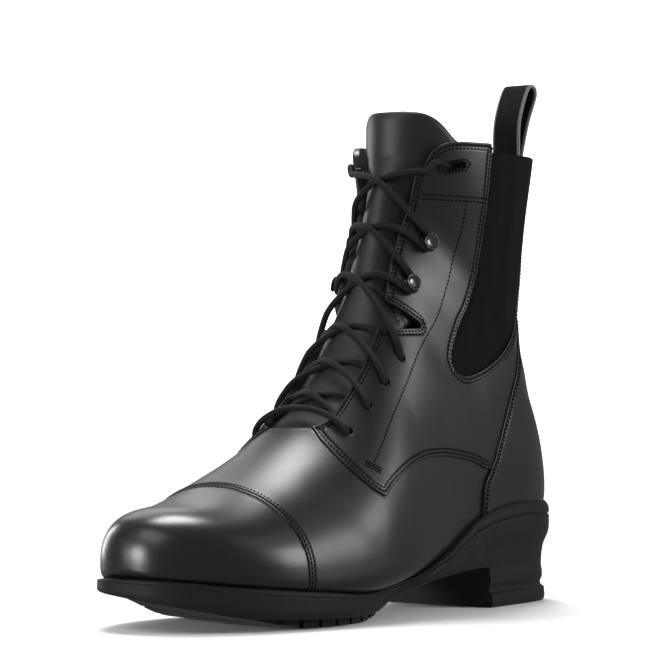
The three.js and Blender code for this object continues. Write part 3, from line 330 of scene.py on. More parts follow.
# %% The grid, with its points moved onto the seams
TIP_ROWS, ROWS_PER_STATION, COLUMN_COUNT = [1e-8, 1e-5, 2e-4], 24, 264
shaft_rows = np.linspace(1, LAST_STATION, (LAST_STATION - 1) * ROWS_PER_STATION + 1)[1:]
rows = np.concatenate([TIP_ROWS, np.linspace(0, 1, 40)[1:] ** 1.9, shaft_rows])
columns = np.linspace(-math.pi, math.pi, COLUMN_COUNT + 1)[1:]
station = np.repeat(rows, COLUMN_COUNT)
turn = np.tile(columns, len(rows))
index = np.arange(len(station)).reshape(len(rows), COLUMN_COUNT)
edges = np.vstack([np.stack([index[:-1].ravel(), index[1:].ravel()], 1),
                   np.stack([index.ravel(), np.roll(index, -1, axis=1).ravel()], 1)])


TUCK, BACK_STRIP_HALF = 5.0, 12.0


def low_side(station, turn, point):
    return point[:, 2] - (rim_height(-point[:, 1] / LENGTH) - TUCK)


def cap_side(station, turn, point):
    line = np.interp(point[:, 0], cap_line[:, 0], cap_line[:, 1])
    return point[:, 1] + line


def side_view(outline):
    return lambda station, turn, point: signed(np.stack([-point[:, 1], point[:, 2]], 1), outline)


def counter_side(station, turn, point):
    strip = np.minimum(BACK_STRIP_HALF - np.abs(point[:, 0]),
                       np.minimum(point[:, 2] - on_back(0.1), point[:, 1] + 60))
    return np.maximum(side_view(counter_outline)(station, turn, point), strip)


def gore_side(station, turn, point):
    return np.minimum(side_view(gore_outline)(station, turn, point), np.abs(point[:, 0]) - BACK_STRIP_HALF)


def beside_of(station, turn):
    row = section(station)
    reach = np.abs(np.sin(turn)) ** (2 / row["high_round"])
    half = np.where(turn > 0, row["lateral"], row["medial"])
    return np.where(np.abs(turn) > math.pi / 2, half * reach, 999.0)


def throat_side(station, turn, point):
    rise = np.clip((THROAT_FULL - station) / (THROAT_FULL - THROAT_START), 0, 1)
    half = facing_edge(np.maximum(station, THROAT_FULL)) * np.sqrt(1 - rise ** 2)
    half = np.where(station < THROAT_START, (station - THROAT_START) * 40, half)
    return beside_of(station, turn) - half


def hole_side(centre, radius):
    return lambda station, turn, point: np.linalg.norm(point - centre, axis=1) - radius


def slit_side(centre, run, half_length, half_width):
    def distance(station, turn, point):
        away = point - centre
        t = np.clip(away @ run, -half_length, half_length)
        return np.linalg.norm(away - t[:, None] * run, axis=1) - half_width
    return distance


SIDES = (("lateral", 1), ("medial", -1))
holes, slits = [], []
for _, side in SIDES:
    for at in EYELETS:
        beside = side * (float(facing_edge(np.array(at))) + EYELET_SETBACK)
        holes.append(last(at, turn_beside(at, np.array(beside))))
    beside = side * (float(facing_edge(np.array(BUTTONHOLE))) + BUTTONHOLE_SETBACK)
    middle_turn = turn_beside(BUTTONHOLE, np.array(beside))
    middle = last(BUTTONHOLE, middle_turn)
    ahead = last(BUTTONHOLE - 0.05, middle_turn + side * 0.1)
    level = ahead - middle
    level[2] = -0.18 * np.linalg.norm(level[:2])
    slits.append((middle, level / np.linalg.norm(level)))

seams = {"low": low_side, "cap": cap_side, "quarter": side_view(quarter_outline), "counter": counter_side,
         "gore": gore_side, "throat": throat_side, "notch": side_view(notch_outline),
         "collar": side_view(collar_outline)}
for k, centre in enumerate(holes):
    seams[f"hole_{k}"] = hole_side(centre, EYELET_RADIUS)
for k, (centre, run) in enumerate(slits):
    seams[f"slit_{k}"] = slit_side(centre, run, SLIT_HALF_LENGTH, SLIT_HALF_WIDTH)

locked = np.zeros(len(station), bool)
on_seam = {}
for name, distance in seams.items():
    point = last(station, turn)
    value = distance(station, turn, point)
    a, b = edges.T
    crossing = (value[a] > 0) != (value[b] > 0)
    a, b = a[crossing], b[crossing]
    t = value[a] / (value[a] - value[b])
    far_end = np.where(locked[a] != locked[b], locked[a], t > 0.5)
    mover = np.where(far_end, b, a)
    other = np.where(far_end, a, b)
    share = np.where(far_end, 1 - t, t)
    order = np.argsort(-share)
    mover, other, share = mover[order], other[order], share[order]
    new_station = station[mover] + (station[other] - station[mover]) * share
    new_turn = wrap(turn[mover] + wrap(turn[other] - turn[mover]) * share)
    station[mover], turn[mover] = new_station, new_turn
    on_seam[name] = np.zeros(len(station), bool)
    on_seam[name][mover] = True
    locked[mover] = True
print("grid points:", len(station), "moved onto seams:", int(locked.sum()))

# %% [markdown]
# ## Triangles that never straddle a seam
# After the move, a seam passes through grid points only, but it may still cross a cell corner to corner.
# So each cell is split along the diagonal that lies on the seam, and along either one elsewhere. A
# triangle's middle then tells which panel it belongs to.

# %% Split the cells and sort the triangles by seam
def ring_faces(cell):
    """Four-sided faces of a grid of point numbers whose last column joins the first."""
    here, there = cell[:-1], cell[1:]
    return np.stack([here, np.roll(here, -1, 1), np.roll(there, -1, 1), there], -1).reshape(-1, 4)


quads = ring_faces(index)
cross_split = np.zeros(len(quads), bool)
for name in seams:
    mark = on_seam[name][quads]
    cross_split |= mark[:, 1] & mark[:, 3] & ~(mark[:, 0] & mark[:, 2])
first = np.where(cross_split[:, None], quads[:, [0, 1, 3]], quads[:, [0, 1, 2]])
second = np.where(cross_split[:, None], quads[:, [1, 2, 3]], quads[:, [0, 2, 3]])
triangles = np.vstack([first, second])[:, ::-1]
base = last(station, turn)
base_normal = normal(station, turn)
tri_station = station[triangles].mean(1)
turns = turn[triangles]
turns = turns[:, :1] + wrap(turns - turns[:, :1])
tri_turn = wrap(turns.mean(1))
tri_point = base[triangles].mean(1)
inside = {name: distance(tri_station, tri_turn, tri_point) > 0 for name, distance in seams.items()}
leather = inside["low"] & inside["throat"] & ~inside["notch"] & ~inside["collar"]
for name in seams:
    if name.startswith(("hole", "slit")):
        leather &= inside[name]
corner, second_corner, third_corner = (base[triangles[:, k]] for k in range(3))
face_normal = np.cross(second_corner - corner, third_corner - corner)
outward_share = ((face_normal * base_normal[triangles[:, 0]]).sum(1) > 0)[leather].mean()
print("triangles of leather:", int(leather.sum()), "facing outwards:", outward_share.round(4))

# %% [markdown]
# ## Soft creases
# Leather that has been worn a little isn't a perfect form: it sinks where the ankle bends, and it swells
# a little between. Noise would look like a lumpy wall, so each crease is a soft trough along a short line.
# Its depth fades across and along the line. The same function moves every layer, so nothing parts.

# %% Troughs along short lines
CREASES = [
    # from (along, up), to (along, up), side, depth, half width
    ((118.0, 128.0), (80.0, 108.0), 0, 0.45, 9.0),
    ((112.0, 150.0), (72.0, 150.0), 0, 0.2, 10.0),
    ((150.0, 96.0), (112.0, 88.0), 0, 0.3, 11.0),
    ((30.0, 108.0), (70.0, 92.0), 0, 0.4, 9.0),
    ((26.0, 132.0), (52.0, 128.0), 0, 0.3, 7.0),
    ((206.0, 66.0), (184.0, 34.0), 1, 0.5, 10.0),
    ((212.0, 60.0), (196.0, 30.0), -1, 0.5, 10.0),
]


def crease(point):
    depth = np.zeros(point.shape[:-1])
    flat = np.stack([-point[..., 1], point[..., 2]], -1)
    for start, end, side, deep, half in CREASES:
        start, run = np.array(start), np.array(end) - np.array(start)
        t = ((flat - start) @ run) / (run @ run)
        away = np.linalg.norm(flat - start - np.clip(t, 0, 1)[..., None] * run, axis=-1)
        along = np.clip(1.4 * np.sin(np.clip(t, -0.15, 1.15) * 2.4 + 0.35), 0, 1)
        sided = 1.0 if side == 0 else smoothstep(side * point[..., 0], -5, 15)
        depth = depth - deep * along * sided * (np.exp(-(away / half) ** 2)
                                               - 0.35 * np.exp(-((away - 1.6 * half) / half) ** 2))
    return depth


sink = crease(base)
print("creases reach from", sink.min().round(2), "to", sink.max().round(2), "mm")

# %% [markdown]
# ## A mesh from arrays
# Blender takes points and faces as lists. This helper scales to metres, shifts into the frame, shades
# smooth and stores any numbers the materials want as attributes. It also hides the CAD nodes that the
# piece stands for, and lets it ride on the body.

# %% Helpers that make pieces
def to_frame(points):
    return (np.asarray(points) + SHIFT) / 1000


def piece(name, points, faces, slot, stands_for=(), smooth=True, **attributes):
    mesh = bpy.data.meshes.new(name)
    faces = faces.tolist() if isinstance(faces, np.ndarray) else faces
    mesh.from_pydata(to_frame(points).tolist(), [], faces)
    mesh.polygons.foreach_set("use_smooth", [smooth] * len(mesh.polygons))
    for key, values in attributes.items():
        mesh.attributes.new(key, "FLOAT", "POINT").data.foreach_set("value", np.asarray(values, np.float32))
    mesh.update()
    obj = bpy.data.objects.new(name, mesh)
    bpy.context.scene.collection.objects.link(obj)
    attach(obj, "root")
    if stands_for:
        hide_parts(*stands_for)
    return obj


# %% [markdown]
# ## Panels with rolled edges
# A cut panel is recognised by its edge. Each one is lifted to its own height over the last, and its
# outline gets a narrow rim in four rows: a little in, over the round, down the cut face and into the
# leather below. The rim is built on the boundary edges, which are those that only one triangle uses. The
# tiny ring round the toe's tip is such a boundary too, but no edge of the leather, so it gets no rim.

# %% Panels from groups of triangles
def boundary(faces):
    half = np.vstack([faces[:, [0, 1]], faces[:, [1, 2]], faces[:, [2, 0]]])
    key = np.sort(half, 1)
    _, where, count = np.unique(key, axis=0, return_index=True, return_counts=True)
    return half[where[count == 1]]


def gathered(mask):
    """The grid points that the chosen triangles use, and those triangles renumbered to them."""
    used, inverse = np.unique(triangles[mask], return_inverse=True)
    return used, inverse.reshape(-1, 3)


AT_TIP, FAR_FROM_SEAM = 1e-6, 50.0
sewn_edges, surfaces = {}, {}


def panel(name, mask, height, depth, slot, sewn, stands_for=(), roll=0.35):
    used, faces = gathered(mask)
    n = base_normal[used]
    flat = base[used] + n * sink[used][:, None]
    rim = boundary(faces)
    rim = rim[station[used][rim].max(1) > AT_TIP]
    run = flat[rim[:, 1]] - flat[rim[:, 0]]
    out = np.cross(run, n[rim[:, 0]])
    out /= np.maximum(np.linalg.norm(out, axis=1, keepdims=True), 1e-9)
    push = np.zeros_like(flat)
    np.add.at(push, rim[:, 0], out)
    np.add.at(push, rim[:, 1], out)
    size = np.linalg.norm(push, axis=1, keepdims=True)
    push = np.where(size > 1e-6, push / np.maximum(size, 1e-6), 0)
    edge_points = np.unique(rim)
    top = flat + n * height - push * roll
    profile = ((0.3 * roll, 0.28 * roll), (0.0, roll), (0.0, depth))
    points, count = [top], len(top)
    place = np.full(len(top), -1)
    place[edge_points] = np.arange(len(edge_points))
    parts = [faces]
    previous = None
    for inset, drop in profile:
        ring = (flat + n * (height - drop) - push * inset)[edge_points]
        points.append(ring)
        here = count + place
        count += len(ring)
        before = np.arange(len(top)) if previous is None else previous
        a, b = rim.T
        parts.append(np.stack([before[b], before[a], here[a]], 1))
        parts.append(np.stack([before[b], here[a], here[b]], 1))
        previous = here
    on_sewn = np.any([on_seam[seam][used] for seam in sewn], axis=0) if sewn else np.zeros(len(used), bool)
    sewn_rim = rim[on_sewn[rim].all(1)]
    sewn_points = np.unique(sewn_rim)
    away = np.full(len(flat), FAR_FROM_SEAM)
    if len(sewn_points):
        tree = KDTree(len(sewn_points))
        for k in sewn_points:
            tree.insert(flat[k], int(k))
        tree.balance()
        away = np.array([tree.find(p)[2] for p in flat])
    rim_count = sum(len(ring) for ring in points[1:])
    obj = piece(name, np.vstack(points), np.vstack(parts), slot, stands_for,
                seam=np.concatenate([away, np.zeros(rim_count)]))
    sewn_edges[name] = (flat + n * height, push, sewn_rim)
    surfaces[name] = BVHTree.FromPolygons(top.tolist(), faces.tolist())
    print(name, len(obj.data.polygons), "triangles,", len(sewn_rim), "sewn rim edges")
    return obj


lateral = tri_point[:, 0] > 0
is_counter = leather & inside["counter"] & ~inside["gore"]
is_quarter = leather & inside["quarter"] & ~inside["counter"] & ~inside["gore"]
is_vamp = leather & inside["cap"] & ~inside["quarter"] & ~inside["counter"]
is_cap = leather & ~inside["cap"]
OPEN_EDGES = ("throat", "notch", "collar", "gore")
OVER, COUNTER_OVER = QUARTER_STEP, QUARTER_STEP + COUNTER_STEP
CAP_LEVEL = -0.45
panel("toe_cap", is_cap, CAP_LEVEL, 1.0, "upper_leather", (), ["upper"])
panel("vamp", is_vamp, 0.0, 2.0, "upper_leather", ("cap",))
panel("quarter_lateral", is_quarter & lateral, OVER, OVER + WALL, "upper_leather", ("quarter", *OPEN_EDGES))
panel("quarter_medial", is_quarter & ~lateral, OVER, OVER + WALL, "upper_leather", ("quarter", *OPEN_EDGES))
panel("counter", is_counter, COUNTER_OVER, COUNTER_OVER + WALL, "upper_leather", ("counter", *OPEN_EDGES))

# %% [markdown]
# ## The lining
# Looking into the collar, the eye expects an inside. One sheet at the depth of the wall closes all panels
# from within: the same triangles, turned round. Where the gores sit it is left open, as they show there.

# %% Lining sheet inside the leather
is_lining = leather & ~inside["gore"] & (tri_point[:, 2] > 60)
used, faces = gathered(is_lining)
lining_points = base[used] + base_normal[used] * (sink[used] - WALL)[:, None]
lining = piece("lining", lining_points, faces[:, ::-1], "tongue_leather")
print("lining:", len(lining.data.polygons), "triangles")

# %% [markdown]
# ## Elastic gores
# A gore is a ribbed elastic insert that lets the shaft stretch. It lies a little lower than the leather and
# runs on under its edge, so the window's outline is the leather's edge and never the elastic's. The ribs
# come from the material. The attribute `ribs` holds where a spot lies along the boot, in millimetres.

# %% Gores under the windows
for name, side in SIDES:
    flat_points = np.stack([-tri_point[:, 1], tri_point[:, 2]], 1)
    near = (tri_station > 8) & ((tri_point[:, 0] * side) > 9.5) & (tri_point[:, 2] < GORE_TOP - 0.3)
    near[near] = signed(flat_points[near], gore_outline) > -3.0
    used, faces = gathered(near)
    flat_points = np.stack([-base[used][:, 1], base[used][:, 2]], 1)
    depth = signed(flat_points, gore_outline)
    level = np.where(depth > 0.4, 0.15, -0.6)
    waves = 0.25 * np.sin(base[used][:, 1] * 0.42) * smoothstep(depth, 2, 10)
    outer = base[used] + base_normal[used] * (level + sink[used] + waves)[:, None]
    inner = base[used] + base_normal[used] * (sink[used] - 1.5)[:, None]
    rim = boundary(faces)
    count = len(used)
    side_faces = np.vstack([np.stack([rim[:, 1], rim[:, 0], rim[:, 0] + count], 1),
                            np.stack([rim[:, 1], rim[:, 0] + count, rim[:, 1] + count], 1)])
    gore = piece(f"gore_{name}", np.vstack([outer, inner]),
                 np.vstack([faces, faces[:, ::-1] + count, side_faces]), "elastic",
                 [f"elastic_gore_{name}"], ribs=np.tile(base[used][:, 1], 2))
    print(gore.name, len(gore.data.polygons), "triangles")

# %% [markdown]
# ## The tongue
# The tongue hangs just inside the facings, so its surface is the last again, a wall's thickness further in
# and drawn in towards the top. The columns run up to the crown line, each to its own height. A small step
# crosses it where its upper part is sewn over the lower one.

# %% Tongue sheet with a rolled edge
TONGUE_HALF, TONGUE_TOP, TONGUE_CROWN, TONGUE_EASE, TONGUE_THICK = 34.0, 246.0, 33.0, 4.0, 2.0
TONGUE_START, TONGUE_SEAM = 4.05, 7.35
half_width = [[TONGUE_START, 0.56], [6, 0.68], [8, 0.70], [11, 0.80], [13, 0.96], [15, 1.0]]
crown = spline([[-0.96, 0.62], [-0.75, 0.84], [-0.41, 0.98], [0, 1], [0.38, 0.99], [0.53, 0.96],
                [0.65, 0.86], [0.72, 0.745], [0.79, 0.545], [0.96, 0.10]], 90)
crown_x, crown_z = crown[:, 0] * TONGUE_HALF, TONGUE_TOP - TONGUE_CROWN + crown[:, 1] * TONGUE_CROWN


def sheet_faces(cell):
    """Four-sided faces between the rows and columns of a grid of point numbers."""
    return np.stack([cell[:-1, :-1], cell[:-1, 1:], cell[1:, 1:], cell[1:, :-1]], -1).reshape(-1, 4)


def round_edge(cell):
    """Point numbers once round the edge of a grid."""
    return np.concatenate([cell[0], cell[1:, -1], cell[-1, -2::-1], cell[-2:0:-1, 0]])


def tongue_point(at, across, depth):
    beside = across * TONGUE_HALF * follow(half_width, at)
    angle = turn_beside(at, beside)
    ease = TONGUE_EASE * smoothstep(at, 9, LAST_STATION)
    point = last(at, angle)
    return off(at, angle, crease(point) - WALL - GAP - ease - depth)


ACROSS, UPWARD = 64, 190
across = np.linspace(-1, 1, ACROSS + 1)
tops = []
for share in across:
    at = np.linspace(11, LAST_STATION, 400)
    line = tongue_point(at, np.full(400, share), 0)
    over = line[:, 2] > np.interp(line[:, 0], crown_x, crown_z)
    tops.append(at[np.argmax(over)] if over.any() else LAST_STATION)
tops = np.convolve(np.pad(tops, 2, mode="edge"), np.ones(5) / 5, mode="valid")
grid_at = TONGUE_START + (np.array(tops)[None] - TONGUE_START) * np.linspace(0, 1, UPWARD + 1)[:, None]
grid_across = np.broadcast_to(across, grid_at.shape)
lap = 0.6 * smoothstep(grid_at, 7.33, 7.37)
edge_in = np.minimum((1 - np.abs(grid_across)) * 24, (np.array(tops)[None] - grid_at) * 12)
roll = 0.9 * (1 - smoothstep(edge_in, 0, 1.6)) ** 2
outer = tongue_point(grid_at.ravel(), grid_across.ravel(), (roll - lap).ravel())
inner = tongue_point(grid_at.ravel(), grid_across.ravel(), (TONGUE_THICK - 0.5 * roll).ravel())
n_up, n_across = grid_at.shape
cell = np.arange(n_up * n_across).reshape(n_up, n_across)
sheet = sheet_faces(cell)
loop = round_edge(cell)
count = cell.size
band = np.stack([loop, np.roll(loop, -1), np.roll(loop, -1) + count, loop + count], 1)
piece("tongue_leather", np.vstack([outer, inner]),
      np.vstack([sheet[:, ::-1], sheet + count, band]), "tongue_leather", ["tongue"],
      seam=np.tile(np.abs(grid_at.ravel() - TONGUE_SEAM) * 11 + 1.0, 2))
print("tongue top:", outer[:, 2].max().round(1), "mm")

# %% [markdown]
# ## Stitches
# A seam of black thread on black leather is seen by its rhythm: short dashes, each in its own dimple. The
# seam lines already exist as rim edges of the panels. They are chained into lines, moved in by the sewing
# distance, laid on the panel and cut into even stitches. Each stitch is a tiny elongated bead.

# %% Lines of stitches
def chains(rim):
    """Joins rim edges into lines of point numbers."""
    after, starts = {}, set(rim[:, 0].tolist()) - set(rim[:, 1].tolist())
    for a, b in rim.tolist():
        after.setdefault(a, b)
    lines, left = [], dict(after)
    for start in list(starts) + list(after):
        line = [start]
        while line[-1] in left:
            line.append(left.pop(line[-1]))
        if len(line) > 6:
            lines.append(line)
    return lines


def lengths_along(line):
    """Length from a line's start to each of its points."""
    return np.concatenate([[0], np.cumsum(np.linalg.norm(np.diff(line, axis=0), axis=1))])


def evenly(line, pitch):
    length = lengths_along(line)
    at = np.arange(pitch / 2, length[-1], pitch)
    return np.stack([np.interp(at, length, line[:, k]) for k in range(3)], -1)


def softened(line, passes=3):
    line = line.copy()
    for _ in range(passes):
        line[1:-1] = (line[:-2] + 2 * line[1:-1] + line[2:]) / 4
    return line


SIDES_OF_BEAD, RINGS_OF_BEAD = 6, (-0.5, -0.32, 0.32, 0.5)
bead_points, bead_faces = [], []


def stitch_beads(line, tree, long=1.6, wide=0.85, high=0.40, pitch=2.15):
    places = evenly(line, pitch)
    if len(places) < 3:
        return 0
    runs = np.gradient(places, axis=0)
    for place, run in zip(places, runs):
        spot, up, _, away = tree.find_nearest(Vector(place))
        if spot is None or away > 3:
            continue
        up = np.array(up)
        run = run / np.linalg.norm(run)
        across = np.cross(up, run)
        across /= max(np.linalg.norm(across), 1e-9)
        start = len(bead_points)
        for share in RINGS_OF_BEAD:
            size = 0.35 if abs(share) == 0.5 else 1.0
            for k in range(SIDES_OF_BEAD):
                angle = 2 * math.pi * k / SIDES_OF_BEAD
                bead_points.append(np.array(spot) + run * share * long
                                   + across * math.cos(angle) * wide / 2 * size
                                   + up * (math.sin(angle) * high * size + 0.02))
        for ring in range(len(RINGS_OF_BEAD) - 1):
            for k in range(SIDES_OF_BEAD):
                first_of_ring = start + ring * SIDES_OF_BEAD
                a, b = first_of_ring + k, first_of_ring + (k + 1) % SIDES_OF_BEAD
                bead_faces.append((a, b, b + SIDES_OF_BEAD, a + SIDES_OF_BEAD))
        bead_faces.append(tuple(start + k for k in range(SIDES_OF_BEAD))[::-1])
        bead_faces.append(tuple(start + 3 * SIDES_OF_BEAD + k for k in range(SIDES_OF_BEAD)))
    return len(places)


SEWING = {"vamp": (1.5, 3.3), "quarter_lateral": (1.6, 3.4), "quarter_medial": (1.6, 3.4),
          "counter": (1.4, 3.0)}
total = 0
for name, distances in SEWING.items():
    flat, push, rim = sewn_edges[name]
    for line in chains(rim):
        for distance in distances:
            points = softened(flat[line] - push[line] * distance)
            total += stitch_beads(points, surfaces[name])
print("stitches along panel edges:", total)

# %% [markdown]
# ## Stitch lines inside a panel
# Some lines don't follow an edge: the long line behind the facings, the bar tack at its bottom and the
# double line of the top band. They are drawn in side view and projected onto the quarter by a ray from
# the side. Two rings round each buttonhole and the tongue's cross seam are placed on their own pieces. The
# medial side isn't seen in the photograph, so it gets the same lines, mirrored.

# %% Facing line, bar tack, top band, buttonholes and tongue seam
FACING_LINE = [(92, 203), (92, 190), (95, 175), (100, 160), (109, 145), (127, 128), (142, 111), (158, 95),
               (170, 82), (178, 74)]
BAR_TACKS = [[(174.5 + shift, 71.5 - 1.2 * shift), (180.5 + shift, 75.5 - 1.2 * shift)]
             for shift in (0, 0.8, 1.6)]
BANDS = [[(113, 204.5), (79, 203.6)], [(113, 202.4), (79, 201.5)]]


def projected(flat, side, tree):
    points = []
    for along, up in flat:
        spot, *_ = tree.ray_cast(Vector((side * 90, -along, up)), Vector((-side, 0, 0)))
        if spot is not None:
            points.append(np.array(spot))
    return np.array(points)


for name, side in SIDES:
    tree = surfaces[f"quarter_{name}"]
    for flat in [spline(FACING_LINE, 80), *[spline(band, 30) for band in BANDS]]:
        total += stitch_beads(projected(flat, side, tree), tree)
    for flat in BAR_TACKS:
        total += stitch_beads(projected(spline(flat, 8), side, tree), tree, long=1.2, pitch=1.3)
tongue_tree = BVHTree.FromPolygons(outer.tolist(), sheet[:, ::-1].tolist())
HOLE_BORDER = [(-9.2, 0), (-6.2, 3.2), (6.2, 3.2), (9.2, 0), (6.2, -3.2), (-6.2, -3.2), (-9.2, 0)]
for k, (name, side) in enumerate(SIDES):
    slit_middle, slit_run = slits[k]
    slit_up = np.cross(slit_run, [side, 0, 0])
    slit_up *= np.sign(slit_up[2])
    corners = np.array(HOLE_BORDER)
    border = np.vstack([np.linspace(p, q, 9)[:-1] for p, q in zip(corners[:-1], corners[1:])]
                       + [corners[-1:]])
    tree = surfaces[f"quarter_{name}"]
    for size in (1.0, 0.72):
        ring_line = slit_middle + (border[:, :1] * slit_run + border[:, 1:] * slit_up) * size
        spots = [tree.find_nearest(Vector(p))[0] for p in ring_line]
        total += stitch_beads(np.array([np.array(p) for p in spots]), tree, pitch=1.9)
for at in (TONGUE_SEAM - 0.13, TONGUE_SEAM + 0.11):
    line = tongue_point(np.full(40, at), np.linspace(-0.95, 0.95, 40), 0.0)
    total += stitch_beads(line, tongue_tree, pitch=2.4)
piece("thread", np.array(bead_points), bead_faces, "lace")
print("stitches in all:", total, "faces:", len(bead_faces))

# %% [markdown]
# ## The lace as one cord
# A lace is a single cord, so it is one path: from the lateral buttonhole down to the bar over the lowest
# eyelets and up again on the other side. At each facing it goes under the leather, out through an eyelet
# and over the edge to the other side. Where two strands cross, one runs a cord's width higher.

# %% The lace's path
CORD = 3.2
OUTSIDE, INSIDE = QUARTER_STEP + CORD / 2, -1.05
ON_TONGUE, ON_STRAND = -1.9, 1.0
STEM_WRAP, WRAP_HEIGHT = 3.4, QUARTER_STEP + 2.4
ROWS = ([(at, EYELET_SETBACK) for at in EYELETS] + [(at, HOOK_SETBACK) for at in HOOKS]
        + [(BUTTONHOLE, BUTTONHOLE_SETBACK)])
HOOK_ROWS, LAST_ROW = (4, 5), len(ROWS) - 1


def edge_at(at):
    return float(facing_edge(np.array(float(at))))


def lay(at, beside, offset):
    angle = turn_beside(np.array(float(at)), np.array(float(beside)))
    return off(np.array(float(at)), angle, offset + float(crease(last(at, angle))))


def hook_frame(at, side):
    """Foot, axis, outward and upward directions of a hook."""
    angle = turn_beside(np.array(at), np.array(side * (edge_at(at) + HOOK_SETBACK)))
    axis = normal(at, angle)
    upward = last(at + 0.1, angle) - last(at - 0.1, angle)
    upward -= axis * (upward @ axis)
    upward /= np.linalg.norm(upward)
    outward = np.cross(upward, axis)
    outward *= np.sign(outward[0] * side)
    scale = np.linalg.norm(last(at + 0.1, angle) - last(at - 0.1, angle)) / 0.2
    return off(at, angle, np.array(QUARTER_STEP + 0.05)), axis, outward, upward, STEM_WRAP / scale


def strand(side):
    """Points of one strand from its lowest eyelet up to its buttonhole."""
    points = []
    for row in range(LAST_ROW):
        (at, setback), (to, to_setback) = ROWS[row], ROWS[row + 1]
        here = side if row % 2 == 0 else -side
        middle = ON_STRAND if (row % 2 == 0) == (side > 0) else ON_TONGUE
        out_x, in_x = edge_at(at) + setback, edge_at(to) + to_setback
        if row in HOOK_ROWS:
            stem, axis, outward, upward, step = hook_frame(at, here)
            for degrees in (-78, -40, 0, 40, 78):
                bend = math.radians(degrees)
                points.append(stem + axis * (WRAP_HEIGHT - QUARTER_STEP)
                              + STEM_WRAP * (math.cos(bend) * outward + math.sin(bend) * upward))
            at += step
        if row + 1 in HOOK_ROWS:
            to -= hook_frame(to, -here)[-1]

        def on_line(x, height):
            """A point on the straight line between the rows, `x` beside the crest, positive here."""
            return lay(at + (to - at) * (out_x - x) / (out_x + in_x), here * x, height)

        if row == 0:
            points += [lay(at, here * out_x, INSIDE - 0.8), on_line(edge_at(at) + 1.0, INSIDE)]
            points += [on_line(edge_at(at) - 3.0, ON_TONGUE), on_line(0.0, middle)]
        else:
            if row not in HOOK_ROWS:
                points += [lay(at, here * out_x, INSIDE - 0.6), lay(at, here * (out_x - 0.3), 0.9),
                           on_line(out_x - 2.4, OUTSIDE)]
            points += [on_line(edge_at(at) + 1.6, OUTSIDE + 0.1), on_line(edge_at(at) - 3.0, OUTSIDE - 0.6),
                       on_line(0.0, middle)]
        if row + 1 in HOOK_ROWS or row + 1 == LAST_ROW:
            points += [on_line(-edge_at(to) + 3.5, OUTSIDE - 0.6), on_line(-edge_at(to) - 1.5, OUTSIDE + 0.2)]
        else:
            points += [on_line(-edge_at(to) + 3.2, ON_TONGUE), on_line(-edge_at(to) - 1.0, INSIDE)]
    at, setback = ROWS[-1]
    here = side if LAST_ROW % 2 == 0 else -side
    return points + [lay(at - 0.03, here * (edge_at(at) + setback - 5.6), OUTSIDE + 0.1),
                     lay(at - 0.01, here * (edge_at(at) + setback - 3.0), OUTSIDE - 1.0),
                     lay(at, here * (edge_at(at) + setback - 1.2), INSIDE - 1.2)]


first, second = strand(1), strand(-1)
low_edge = edge_at(EYELETS[0])
bar = [lay(EYELETS[0] - 0.01, share * (low_edge + EYELET_SETBACK), height) for share, height in
       ((1.0, INSIDE), (0.97, 1.1), (0.86, OUTSIDE + 0.1), (0.66, OUTSIDE + 0.3), (0.3, 2.4), (0.0, 2.0),
        (-0.3, 2.4), (-0.66, OUTSIDE + 0.3), (-0.86, OUTSIDE + 0.1), (-0.97, 1.1), (-1.0, INSIDE))]
route = np.array(first[::-1] + bar + second)
keep = np.concatenate([[True], np.linalg.norm(np.diff(route, axis=0), axis=1) > 0.6])
route = route[keep]


def cord_line(points, spacing):
    """Centripetal Catmull-Rom line through uneven points, resampled evenly."""
    ends = np.vstack([2 * points[0] - points[1], points, 2 * points[-1] - points[-2]])
    pieces = []
    for k in range(1, len(ends) - 2):
        p0, p1, p2, p3 = ends[k - 1:k + 3]
        t0 = 0.0
        t1 = t0 + np.linalg.norm(p1 - p0) ** 0.5
        t2 = t1 + np.linalg.norm(p2 - p1) ** 0.5
        t3 = t2 + np.linalg.norm(p3 - p2) ** 0.5
        t = np.linspace(t1, t2, 12, endpoint=False)[:, None]
        a1 = (t1 - t) / (t1 - t0) * p0 + (t - t0) / (t1 - t0) * p1
        a2 = (t2 - t) / (t2 - t1) * p1 + (t - t1) / (t2 - t1) * p2
        a3 = (t3 - t) / (t3 - t2) * p2 + (t - t2) / (t3 - t2) * p3
        b1 = (t2 - t) / (t2 - t0) * a1 + (t - t0) / (t2 - t0) * a2
        b2 = (t3 - t) / (t3 - t1) * a2 + (t - t1) / (t3 - t1) * a3
        pieces.append((t2 - t) / (t2 - t1) * b1 + (t - t1) / (t2 - t1) * b2)
    return evenly(np.vstack(pieces + [ends[-2][None]]), spacing)


def swept(line, section_points):
    """Sweeps a flat section along a line; returns points, faces and the length at each ring."""
    run = np.gradient(line, axis=0)
    run /= np.linalg.norm(run, axis=1, keepdims=True)
    side = np.cross(run[0], [0.0, 0.0, 1.0])
    side /= np.linalg.norm(side)
    sides = [side]
    for direction in run[1:]:
        side = sides[-1] - direction * (sides[-1] @ direction)
        sides.append(side / np.linalg.norm(side))
    sides = np.array(sides)
    ups = np.cross(sides, run)
    rings = (line[:, None] + sides[:, None] * section_points[None, :, :1]
             + ups[:, None] * section_points[None, :, 1:])
    count, around = len(line), len(section_points)
    cell = np.arange(count * around).reshape(count, around)
    return rings.reshape(-1, 3), sheet_faces(cell), lengths_along(line)


